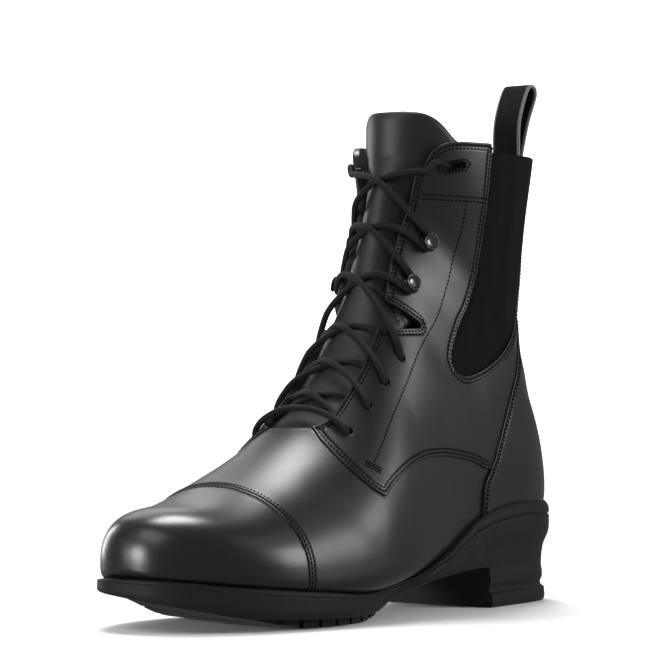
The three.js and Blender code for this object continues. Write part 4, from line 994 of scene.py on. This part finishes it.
CORD_SIDES = 15
angles = np.linspace(0, 2 * math.pi, CORD_SIDES)
circle = np.stack([np.cos(angles), np.sin(angles)], -1) * CORD / 2
lace_line = cord_line(route, 0.9)
lace_points, lace_faces, lace_length = swept(lace_line, circle)
piece("lace_cord", lace_points, lace_faces, "lace",
      ["lace_bar", *[f"lace_crossing_{k}" for k in range(1, LAST_ROW + 1)]],
      around=np.tile(np.linspace(0, 1, CORD_SIDES), len(lace_line)),
      length=np.repeat(lace_length, CORD_SIDES))
print("lace length:", round(lace_length[-1]), "mm,", len(lace_faces) * 2, "triangles")

# %% [markdown]
# ## Lace hooks
# A hook is turned metal, so a profile spun round an axis makes it: a flat base, a narrow neck that the
# lace slips behind, and a flared head with a hollow top. The axis is the last's normal at its place.

# %% Four spun hooks
PROFILE = [(0.0, 0.0), (3.3, 0.0), (3.5, 0.25), (3.3, 0.55), (2.1, 0.7), (1.75, 1.2), (1.7, 3.2), (1.9, 3.8),
           (2.9, 4.2), (3.75, 4.9), (4.0, 5.4), (3.85, 5.7), (3.5, 5.6), (2.9, 5.0), (2.1, 4.55), (1.0, 4.35),
           (0.0, 4.3)]
SPIN = 40
for name, side in SIDES:
    for level, at in zip(("lower", "upper"), HOOKS):
        foot, axis, u, v, _ = hook_frame(at, side)
        spin = np.linspace(0, 2 * math.pi, SPIN, endpoint=False)
        ring = np.cos(spin)[:, None] * u + np.sin(spin)[:, None] * v
        points = np.vstack([foot + r * ring + h * axis for r, h in spline(PROFILE, 48)])
        levels = len(points) // SPIN
        cell = np.arange(len(points)).reshape(levels, SPIN)
        piece(f"hook_{name}_{level}", points, ring_faces(cell), "hook_metal",
              [f"lace_hook_{name}_{level}"])
print("hooks:", 4, "with", levels * SPIN, "faces each")

# %% [markdown]
# ## The pull loop
# Webbing is a flat band, so its section is a thin rounded rectangle swept along the same folded line as in
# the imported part. The attribute `wide` runs across the band and lets the material paint its edge stripes.

# %% Folded webbing
LOOP_WIDTH, LOOP_THICK, LOOP_HEIGHT, LOOP_OVERLAP, LOOP_BELLY, LOOP_LEAN = 17.0, 1.6, 42.0, 14.0, 3.6, 16.0
back_stations = np.linspace(10, LAST_STATION, 600)


def back_at(up, offset):
    """Where the boot's back lies at a height, with an offset outwards."""
    line = off(back_stations, np.zeros(len(back_stations)), np.full(len(back_stations), offset))
    return np.array([np.interp(up, line[:, 2], line[:, 1]), up])


near = QUARTER_STEP + COUNTER_STEP + GAP + LOOP_THICK / 2
far = near + LOOP_THICK + GAP
crown_y = back_at(GORE_TOP, 0.0)[0]
foot = GORE_TOP - LOOP_OVERLAP
folded = [back_at(foot, near), back_at(GORE_TOP, near),
          [crown_y + 0.5 * LOOP_LEAN - LOOP_BELLY - 0.8, GORE_TOP + 0.5 * LOOP_HEIGHT],
          [crown_y + 0.88 * LOOP_LEAN - LOOP_BELLY, GORE_TOP + 0.90 * LOOP_HEIGHT],
          [crown_y + LOOP_LEAN, GORE_TOP + LOOP_HEIGHT - 0.8],
          [crown_y + 0.95 * LOOP_LEAN + 0.9 * LOOP_BELLY, GORE_TOP + 0.86 * LOOP_HEIGHT],
          [crown_y + 0.55 * LOOP_LEAN + 0.7 * LOOP_BELLY, GORE_TOP + 0.5 * LOOP_HEIGHT],
          back_at(GORE_TOP, far), back_at(foot, far)]
flat = spline(folded, 150)
line = np.stack([np.zeros(len(flat)), flat[:, 0], flat[:, 1]], -1)
half_wide, half_thick = LOOP_WIDTH / 2, LOOP_THICK / 2
arc = np.linspace(-math.pi / 2, math.pi / 2, 7)
right = np.stack([half_wide - half_thick * 0.9 + half_thick * 0.9 * np.cos(arc),
                  half_thick * np.sin(arc)], -1)
upper_run = np.stack([np.linspace(half_wide - 1, -half_wide + 1, 17)[1:-1], np.full(15, half_thick)], -1)
band_section = np.vstack([right, upper_run, -right, -upper_run, right[:1]])
loop_run = np.gradient(line, axis=0)
loop_run /= np.linalg.norm(loop_run, axis=1, keepdims=True)
wide = np.array([1.0, 0, 0])
thick = np.cross(wide, loop_run)
rings = line[:, None] + band_section[None, :, :1] * wide + band_section[None, :, 1:] * thick[:, None]
cell = np.arange(rings.shape[0] * rings.shape[1]).reshape(rings.shape[:2])
ends = [tuple(cell[0, :-1][::-1]), tuple(cell[-1, :-1])]
loop_length = lengths_along(line)
webbing_faces = [tuple(face) for face in sheet_faces(cell).tolist()] + ends
piece("pull_loop_webbing", rings.reshape(-1, 3), webbing_faces, "webbing",
      ["pull_loop"], wide=np.tile(band_section[:, 0], len(line)),
      length=np.repeat(loop_length, len(band_section)))
print("webbing length:", loop_length[-1].round(1), "mm")

# %% [markdown]
# ## The outsole's side
# The rubber sole follows the last's own outline at the height of its rim. That line is found by bisection
# for each station, then offset outwards by a profile: a ledge at the top, a groove below it, soft flutes
# at the waist and a waisted heel block with a step above the floor. One skin covers all of it.

# %% The rim line and the side skin
FORE_COLUMNS, HEEL_COLUMNS = 120, 50


def rim_side(side):
    stations = np.concatenate([np.linspace(0.0005, 1, 160) ** 2, np.linspace(1, 10, 700)[1:]])
    low, high = np.full(len(stations), 0.0001), np.full(len(stations), 0.6 * math.pi)

    def above(angle):
        point = last(stations, side * angle)
        return point[:, 2] - rim_height(-point[:, 1] / LENGTH)

    valid = above(low) <= 0
    for _ in range(30):
        middle = (low + high) / 2
        up = above(middle) > 0
        high, low = np.where(up, middle, high), np.where(up, low, middle)
    line = last(stations, side * low)[valid][:, :2]
    line[-1, 0] = 0.0
    return line


lateral_line, medial_line = rim_side(1), rim_side(-1)
toe = (lateral_line[0] + medial_line[0]) / 2
heel = (lateral_line[-1] + medial_line[-1]) / 2


def side_points(line):
    """Even points from toe to heel, one of them exactly at the heel's front face."""
    line = np.vstack([toe, line[1:-1], heel])
    length = lengths_along(line)
    at_breast = np.interp(-HEEL_LENGTH, line[:, 1], length)
    at = np.concatenate([np.linspace(0, at_breast, FORE_COLUMNS, endpoint=False),
                         np.linspace(at_breast, length[-1], HEEL_COLUMNS + 1)])
    return np.stack([np.interp(at, length, line[:, k]) for k in range(2)], -1)


a, b = side_points(lateral_line), side_points(medial_line)
outline = np.vstack([a, b[-2:0:-1]])
for _ in range(4):
    outline = (np.roll(outline, 1, 0) + 2 * outline + np.roll(outline, -1, 0)) / 4
run = np.roll(outline, -1, 0) - np.roll(outline, 1, 0)
run /= np.linalg.norm(run, axis=1, keepdims=True)
outward = np.stack([run[:, 1], -run[:, 0]], -1)
along = -outline[:, 1] / LENGTH
SIDE_EDGE = [[0, 0.9 * BREAST], [0.20, 0.95 * BREAST], [0.30, 0.96 * BREAST], [0.37, 0.90 * BREAST],
             [0.427, 0.82 * BREAST], [0.467, 0.70 * BREAST], [0.51, 0.40 * BREAST + 0.6 * SIDE_LIFT],
             [0.555, 1.4 * SIDE_LIFT], [0.62, SIDE_LIFT], [0.73, SIDE_LIFT], [0.80, 0.33 * TOE_SPRING],
             [0.87, 0.55 * TOE_SPRING], [0.92, 0.77 * TOE_SPRING], [0.95, 0.87 * TOE_SPRING],
             [1, TOE_SPRING]]


def side_edge(x, y):
    share, beside = -y / LENGTH, x / BALL - SECTIONS["swing_low"][0]
    toe_share = np.where(beside > 0, smoothstep(share, 0.78, 0.94), smoothstep(share, 0.70, 0.84))
    return follow(SIDE_EDGE, share) - TOE_SKEW * toe_share * beside


WALL_ROWS = np.array([[0.00, 0.45, 0.10, 0.10], [0.10, 0.80, 0.50, 0.15], [0.30, 1.00, 0.90, 0.45],
                      [0.52, 1.00, 1.10, 1.35], [0.76, 1.00, 1.15, 1.50], [0.84, 1.00, 1.15, 1.50],
                      [0.94, 0.95, 1.05, 1.30], [1.00, 0.75, 0.65, 0.80]])
BLOCK = [[0, 0.35], [0.6, 0.55], [6.6, 0.62], [6.9, 0.62], [7.15, 0.38], [13.0, 0.30], [23.0, 0.10]]
FLUTES = [0.30, 0.365, 0.43, 0.495]
levels = np.linspace(0, 1, 64)
floor_edge, top_edge = side_edge(*outline.T), rim_height(along)
to_waist, to_fore = smoothstep(along, 0.20, 0.32), smoothstep(along, 0.45, 0.58)
rings = []
for level in levels:
    fore, waist, rear = (follow(WALL_ROWS[:, [0, k]], level) for k in (1, 2, 3))
    share = (rear + (waist - rear) * to_waist) * (1 - to_fore) + fore * to_fore
    groove = 0.30 * np.exp(-((level - 0.80) / 0.018) ** 2) * (1 - 0.75 * to_fore)
    flutes = sum(np.exp(-((along - (low_end - 0.07 * level)) / 0.016) ** 2) for low_end in FLUTES)
    proud = RIM_PROUD * (share - groove) - 0.9 * flutes * math.sin(math.pi * level)
    height = floor_edge + (top_edge - floor_edge) * level
    rings.append(np.column_stack([outline + outward * proud[:, None], height]))
for inset, drop in ((0.45, -0.12), (0.0, -0.25), (-0.5, -0.2), (-1.2, 0.5)):
    rings.append(np.column_stack([outline + outward * (RIM_PROUD * inset), top_edge - drop]))
rings = np.array(rings)
count = len(outline)
skin_points, skin_faces = [], []


def add_skin(grid, faces_of):
    """Adds a grid of points to the sole, with the faces between them, and returns their numbers."""
    start = sum(len(part) for part in skin_points)
    cell = start + np.arange(grid.shape[0] * grid.shape[1]).reshape(grid.shape[:2])
    skin_points.append(grid.reshape(-1, 3))
    skin_faces.append(faces_of(cell))
    return cell


add_skin(rings, ring_faces)
print("side of the sole:", len(rings), "rings of", count, "points")

# %% [markdown]
# ## Heel block, underside and tread
# Below the side's lower edge the heel goes on to the floor, so the same columns run down there, with
# their own profile and a step for the heel lift. Cross strips close the front face and all undersides,
# because each point on one side of the rim has a partner on the other.

# %% Close the sole
heel_columns = np.arange(FORE_COLUMNS, count - FORE_COLUMNS + 1)
block = []
for share in np.linspace(0, 1, 34):
    height = floor_edge[heel_columns] * share
    level_proud = RIM_PROUD * follow(BLOCK, height)
    level_top = rings[0][heel_columns][:, :2]
    own = outline[heel_columns] + outward[heel_columns] * level_proud[:, None]
    mix_top = smoothstep(share, 0.8, 1.0)
    own = own * (1 - mix_top) + level_top * mix_top
    own[[0, -1], 1] = -HEEL_LENGTH
    block.append(np.column_stack([own, height]))
block = np.array(block)
add_skin(block, sheet_faces)
STRIPS = np.linspace(0, 1, 13)[None, :, None]


def strips(one, other):
    """A surface of cross strips between two lines of partner points."""
    add_skin(one[:, None] * (1 - STRIPS) + other[:, None] * STRIPS, sheet_faces)


strips(block[:, -1], block[:, 0])
half_count = count // 2
partner = (count - np.arange(half_count + 1)) % count
strips(rings[0][:half_count + 1], rings[0][partner])
middle_column = len(heel_columns) // 2
strips(block[0][:middle_column + 1], block[0][::-1][:middle_column + 1])


TREAD_INSET, TREAD_GAP, TREAD_PITCH, LUG_GRID = 4.0, 2.4, 12.0, 9
TREAD_FRONT, TREAD_REAR, TREAD_FIRST_CUT, CUT_COUNT = 0.885, 0.545, 0.575, 7


def tread_depth(share):
    return SIDE_LIFT * (1 - smoothstep(share, 0.76, 0.89))


def tread_slab(front, rear):
    """One lug between two lines across the sole, set in from its side."""
    inner = outline - outward * TREAD_INSET
    grid = []
    for y in np.linspace(front, rear, LUG_GRID):
        ends = [np.interp(-y, -half_line[::-1, 1], half_line[::-1, 0])
                for half_line in (inner[:half_count + 1], inner[partner])]
        x, y = np.linspace(*ends, LUG_GRID), np.full(LUG_GRID, y)
        edge = side_edge(x, y)
        low = np.maximum(0, edge - tread_depth(-y / LENGTH))
        grid.append([np.column_stack([x, y, low]), np.column_stack([x, y, edge + 0.5])])
    grid = np.array(grid)
    bottom = add_skin(grid[:, 0], sheet_faces)
    skin_points.append(grid[:, 1].reshape(-1, 3))
    ring = round_edge(bottom)
    upper_ring = ring + bottom.size
    skin_faces.append(np.stack([ring, np.roll(ring, -1), np.roll(upper_ring, -1), upper_ring], -1))


cuts = [TREAD_REAR * LENGTH, *[TREAD_FIRST_CUT * LENGTH + TREAD_PITCH * k for k in range(CUT_COUNT)],
        TREAD_FRONT * LENGTH]
for start, end in zip(cuts[:-1], cuts[1:]):
    tread_slab(-(start + TREAD_GAP / 2), -(end - TREAD_GAP / 2))
sole = piece("outsole_rubber", np.vstack(skin_points), np.vstack(skin_faces), "sole_rubber", ["outsole"])
bpy.context.view_layer.objects.active = sole
sole.data.validate()
bpy.context.view_layer.update()
shaped = bmesh.new()
shaped.from_mesh(sole.data)
bmesh.ops.remove_doubles(shaped, verts=shaped.verts, dist=0.00002)
bmesh.ops.recalc_face_normals(shaped, faces=shaped.faces)
for edge in shaped.edges:
    edge.smooth = len(edge.link_faces) == 2 and edge.calc_face_angle(3.0) < math.radians(38)
shaped.to_mesh(sole.data)
shaped.free()
print("outsole:", len(sole.data.polygons), "faces")

# %% [markdown]
# ## Materials, all procedural
# Black things are told apart by their shine and their grain, not by their colour. So every material gets
# its own roughness, a fine bump of its own, and a base colour a little above black. Each one is made by a
# short function, and the same few nodes are wired again and again: a texture, a bump and the shader.

# %% A small kit for materials
def material(name, colour, roughness, **inputs):
    made = bpy.data.materials.new(name)
    made.use_nodes = True
    shader = made.node_tree.nodes["Principled BSDF"]
    shader.inputs["Base Color"].default_value = (*colour, 1)
    shader.inputs["Roughness"].default_value = roughness
    for key, value in inputs.items():
        shader.inputs[key.replace("_", " ")].default_value = value
    return made, made.node_tree, shader


def node(tree, kind, **values):
    made = tree.nodes.new(kind)
    for key, value in values.items():
        if key in made.inputs:
            made.inputs[key].default_value = value
        else:
            setattr(made, key, value)
    return made


def noise(tree, scale, detail=3.0):
    place = node(tree, "ShaderNodeTexCoord")
    made = node(tree, "ShaderNodeTexNoise", Scale=scale, Detail=detail)
    tree.links.new(place.outputs["Object"], made.inputs["Vector"])
    return made.outputs["Fac"]


def math_node(tree, operation, a, b=None):
    made = node(tree, "ShaderNodeMath", operation=operation)
    for socket, value in zip(made.inputs, (a, b)):
        if value is None:
            continue
        if isinstance(value, (int, float)):
            socket.default_value = value
        else:
            tree.links.new(value, socket)
    return made.outputs[0]


def bump(tree, shader, height, strength, distance, previous=None):
    made = node(tree, "ShaderNodeBump", Strength=strength, Distance=distance)
    tree.links.new(height, made.inputs["Height"])
    if previous is not None:
        tree.links.new(previous, made.inputs["Normal"])
    tree.links.new(made.outputs["Normal"], shader.inputs["Normal"])
    return made.outputs["Normal"]


def ramp(tree, value, low, high, low_out, high_out):
    made = node(tree, "ShaderNodeMapRange")
    for key, number in (("From Min", low), ("From Max", high), ("To Min", low_out), ("To Max", high_out)):
        made.inputs[key].default_value = number
    made.interpolation_type = "SMOOTHSTEP"
    tree.links.new(value, made.inputs["Value"])
    return made.outputs["Result"]


def attribute(tree, name):
    return node(tree, "ShaderNodeAttribute", attribute_name=name).outputs["Fac"]


def put(made, *names):
    for name in names:
        mesh = bpy.data.objects[name].data
        mesh.materials.clear()
        mesh.materials.append(made)


# %% [markdown]
# ## Leather
# Three bumps lie over each other: a slow wave, since hide is never flat; the fine pebble of its grain; and
# the groove a seam pulls, driven by the distance to the panel's edge stored in `seam`.

# %% Leather of the shoe and its shinier toe cap
GROOVE_AT, GROOVE_HALF = 2.4, 2.2


def leather_look(name, colour, roughness, grain, wave, coat):
    made, tree, shader = material(name, colour, roughness, Specular_IOR_Level=0.4, Coat_Weight=coat,
                                  Coat_Roughness=0.22, Specular_Tint=(0.92, 1.0, 0.97, 1.0))
    slow = bump(tree, shader, noise(tree, 55.0, 2.0), wave, 0.0012)
    pores = noise(tree, 1500.0, 3.0)
    fine = bump(tree, shader, pores, grain, 0.00012, slow)
    away = attribute(tree, "seam")
    near_groove = math_node(tree, "ABSOLUTE", math_node(tree, "SUBTRACT", away, GROOVE_AT))
    groove = ramp(tree, near_groove, 0.0, GROOVE_HALF, 0.0, 1.0)
    bump(tree, shader, groove, 0.55, 0.0006, fine)
    return made


smooth_leather = leather_look("smooth leather", (0.006, 0.006, 0.007), 0.36, 0.25, 0.12, 0.0)
cap_leather = leather_look("cap leather", (0.005, 0.005, 0.006), 0.30, 0.45, 0.10, 0.1)
put(smooth_leather, "vamp", "quarter_lateral", "quarter_medial", "counter")
put(cap_leather, "toe_cap")
soft_leather = leather_look("tongue leather", (0.006, 0.006, 0.0065), 0.45, 0.5, 0.4, 0.0)
put(soft_leather, "tongue_leather", "lining")
for each, colour, rough, names in (
        ("thread", (0.0015, 0.0015, 0.0015), 0.8, ["thread"]),
        ("insole board", (0.03, 0.028, 0.026), 0.7, ["insole"])):
    made, tree, shader = material(each, colour, rough, Specular_IOR_Level=0.15)
    bump(tree, shader, noise(tree, 900.0), 0.3, 0.0002)
    put(made, *names)
    print("look:", each)

# %% [markdown]
# ## Elastic, webbing and lace
# The three textiles differ in their weave. The elastic has upright ribs, so a wave of a fixed pitch runs on
# the attribute `ribs`. The webbing has two grey edge stripes. The lace is braided: two slanted waves cross.

# %% Textiles
RIB_PITCH, STRIPE_FROM, STRIPE_FULL, BRAID_STRANDS, BRAID_PITCH = 1.15, 7.0, 7.3, 5, 1.5
made, tree, shader = material("ribbed elastic", (0.0045, 0.0042, 0.0035), 0.9, Specular_IOR_Level=0.15)
ribs = math_node(tree, "SINE", math_node(tree, "MULTIPLY", attribute(tree, "ribs"), 2 * math.pi / RIB_PITCH))
first_bump = bump(tree, shader, ribs, 0.7, 0.0004)
bump(tree, shader, noise(tree, 2500.0), 0.5, 0.0002, first_bump)
put(made, "gore_lateral", "gore_medial")

made, tree, shader = material("webbing", (0.011, 0.011, 0.012), 0.85, Specular_IOR_Level=0.2)
edge = ramp(tree, math_node(tree, "ABSOLUTE", attribute(tree, "wide")), STRIPE_FROM, STRIPE_FULL, 0.0, 1.0)
mix = node(tree, "ShaderNodeMix", data_type="RGBA")
mix.inputs["A"].default_value = (0.0045, 0.0045, 0.0045, 1)
mix.inputs["B"].default_value = (0.16, 0.17, 0.18, 1)
tree.links.new(edge, mix.inputs["Factor"])
tree.links.new(mix.outputs["Result"], shader.inputs["Base Color"])
weave = math_node(tree, "MULTIPLY",
                  math_node(tree, "SINE", math_node(tree, "MULTIPLY", attribute(tree, "wide"), 5.5)),
                  math_node(tree, "SINE", math_node(tree, "MULTIPLY", attribute(tree, "length"), 5.5)))
bump(tree, shader, weave, 0.7, 0.0004)
put(made, "pull_loop_webbing")

made, tree, shader = material("lace cord", (0.0075, 0.0085, 0.011), 0.75, Specular_IOR_Level=0.3)
around = math_node(tree, "MULTIPLY", attribute(tree, "around"), 2 * math.pi * BRAID_STRANDS)
lengthwise = math_node(tree, "MULTIPLY", attribute(tree, "length"), 2 * math.pi / BRAID_PITCH)
weave = math_node(tree, "MULTIPLY", math_node(tree, "SINE", math_node(tree, "ADD", around, lengthwise)),
                  math_node(tree, "SINE", math_node(tree, "SUBTRACT", around, lengthwise)))
bump(tree, shader, weave, 0.8, 0.0005)
put(made, "lace_cord")
print("textiles done")

# %% [markdown]
# ## Rubber and painted metal
# The rubber is matte and a shade lighter than the leather, with a slow wave and a fine grain. The hooks are
# glossy black paint, so they aren't metallic here: a clear coat over a dark base is what one sees.

# %% Rubber and hooks
made, tree, shader = material("sole rubber", (0.009, 0.0095, 0.010), 0.55, Specular_IOR_Level=0.15)
slow = bump(tree, shader, noise(tree, 120.0, 3.0), 0.12, 0.0010)
bump(tree, shader, noise(tree, 2200.0, 2.0), 0.35, 0.00012, slow)
put(made, "outsole_rubber")
made, tree, shader = material("hook paint", (0.012, 0.012, 0.014), 0.22, Metallic=0.0, Coat_Weight=0.6)
bump(tree, shader, noise(tree, 700.0, 2.0), 0.05, 0.0002)
put(made, *[f"hook_{name}_{level}" for name, _ in SIDES for level in ("lower", "upper")])
print("materials:", len(bpy.data.materials))

# %% [markdown]
# ## Camera
# The picture was taken with a long lens from far away, level, at 38 degrees from the front. A small shift
# puts the boot where it stands in the picture without tilting its upright lines.

# %% A level camera with a long lens
YAW = math.radians(38.0)
camera_data = bpy.data.cameras.new("camera")
camera_data.lens, camera_data.sensor_width = 159.8, 36.0
camera_data.shift_x, camera_data.shift_y = -0.0292, 0.0892
camera_data.clip_end = 100.0
camera = bpy.data.objects.new("camera", camera_data)
camera.location = (0.8634, -1.1068, 0.112)
camera.rotation_euler = (math.pi / 2, 0, YAW)
bpy.context.scene.collection.objects.link(camera)
bpy.context.scene.camera = camera

# %% [markdown]
# ## Studio light and floor
# Polished black shows nothing but its surroundings, so the lamps are the picture: boxes at the side draw
# the long sheen, those in front draw the toe's highlight, and a wide sun overhead whitens the floor. Lamps
# simply add up, so rendering one alone shows which bright patch is its own. The floor is a pale sheet under
# a dim world, and a glowing wall stands behind it. Both are hidden from mirror-like rays, and the wall from
# shadow rays: the white floor would otherwise turn the lower half of the black leather grey.

# %% Lamps, world and floor
def lamp(name, place, aim, size, size_y, power):
    data = bpy.data.lights.new(name, "AREA")
    data.shape, data.size, data.size_y, data.energy = "RECTANGLE", size, size_y, power
    obj = bpy.data.objects.new(name, data)
    obj.location = place
    obj.rotation_euler = (Vector(aim) - Vector(place)).to_track_quat("-Z", "Y").to_euler()
    bpy.context.scene.collection.objects.link(obj)
    return obj


lamps = [lamp("side_box", (1.25, 0.75, 0.55), (0, 0.02, 0.12), 0.5, 0.6, 9.5),
         lamp("over_box", (1.10, 0.55, 0.86), (0, 0, 0.10), 0.7, 1.2, 2.5),
         lamp("front_box", (-0.30, -1.20, 1.10), (0, -0.05, 0.05), 1.0, 0.8, 7.5),
         lamp("toe_box", (-0.66, -1.40, 0.24), (0, -0.10, 0.04), 0.35, 0.3, 11.0),
         lamp("back_box", (-1.0, 0.70, 0.80), (0, -0.05, 0.08), 0.6, 0.5, 1.5),
         lamp("left_strip", (-1.40, 0.28, 0.30), (0, 0.03, 0.2), 0.15, 0.6, 4.0)]
sky = bpy.data.lights.new("sky_box", "SUN")
sky.energy, sky.angle = 2.7, math.radians(24)
sky_box = bpy.data.objects.new("sky_box", sky)
sky_box.rotation_euler = (math.radians(-14), math.radians(-17), 0)
bpy.context.scene.collection.objects.link(sky_box)
lamps.append(sky_box)
world = bpy.data.worlds.new("dim room")
world.use_nodes = True
world.node_tree.nodes["Background"].inputs["Color"].default_value = (1, 1, 1, 1)
world.node_tree.nodes["Background"].inputs["Strength"].default_value = 0.28
bpy.context.scene.world = world


def backdrop(name, corners, look):
    """One plain four-sided sheet with its own look."""
    mesh = bpy.data.meshes.new(name)
    mesh.from_pydata(corners, [], [(0, 1, 2, 3)])
    mesh.materials.append(look)
    sheet = bpy.data.objects.new(name, mesh)
    bpy.context.scene.collection.objects.link(sheet)
    sheet.visible_glossy = False
    return sheet


FLOOR_HALF, WALL_AHEAD, WALL_HALF, WALL_LOW, WALL_TOP = 9, 3, 0.8, -0.1, 1.2
floor_look, *_ = material("floor", (0.97, 0.97, 0.97), 0.8)
floor_corners = [(x * FLOOR_HALF, y * FLOOR_HALF, 0) for x, y in ((-1, -1), (1, -1), (1, 1), (-1, 1))]
floor = backdrop("floor", floor_corners, floor_look)
ahead, sideways = Vector((-math.sin(YAW), math.cos(YAW), 0)), Vector((math.cos(YAW), math.sin(YAW), 0))
wall_look, *_ = material("wall", (1, 1, 1), 1.0, Emission_Color=(1, 1, 1, 1), Emission_Strength=1.05)
wall_corners = [ahead * WALL_AHEAD + sideways * side * WALL_HALF + Vector((0, 0, z))
                for side, z in ((-1, WALL_LOW), (1, WALL_LOW), (1, WALL_TOP), (-1, WALL_TOP))]
wall = backdrop("wall", wall_corners, wall_look)
wall.visible_shadow = False
bpy.context.scene.view_settings.view_transform = "Standard"
print("lamps:", len(lamps), "with floor, wall and camera staged")
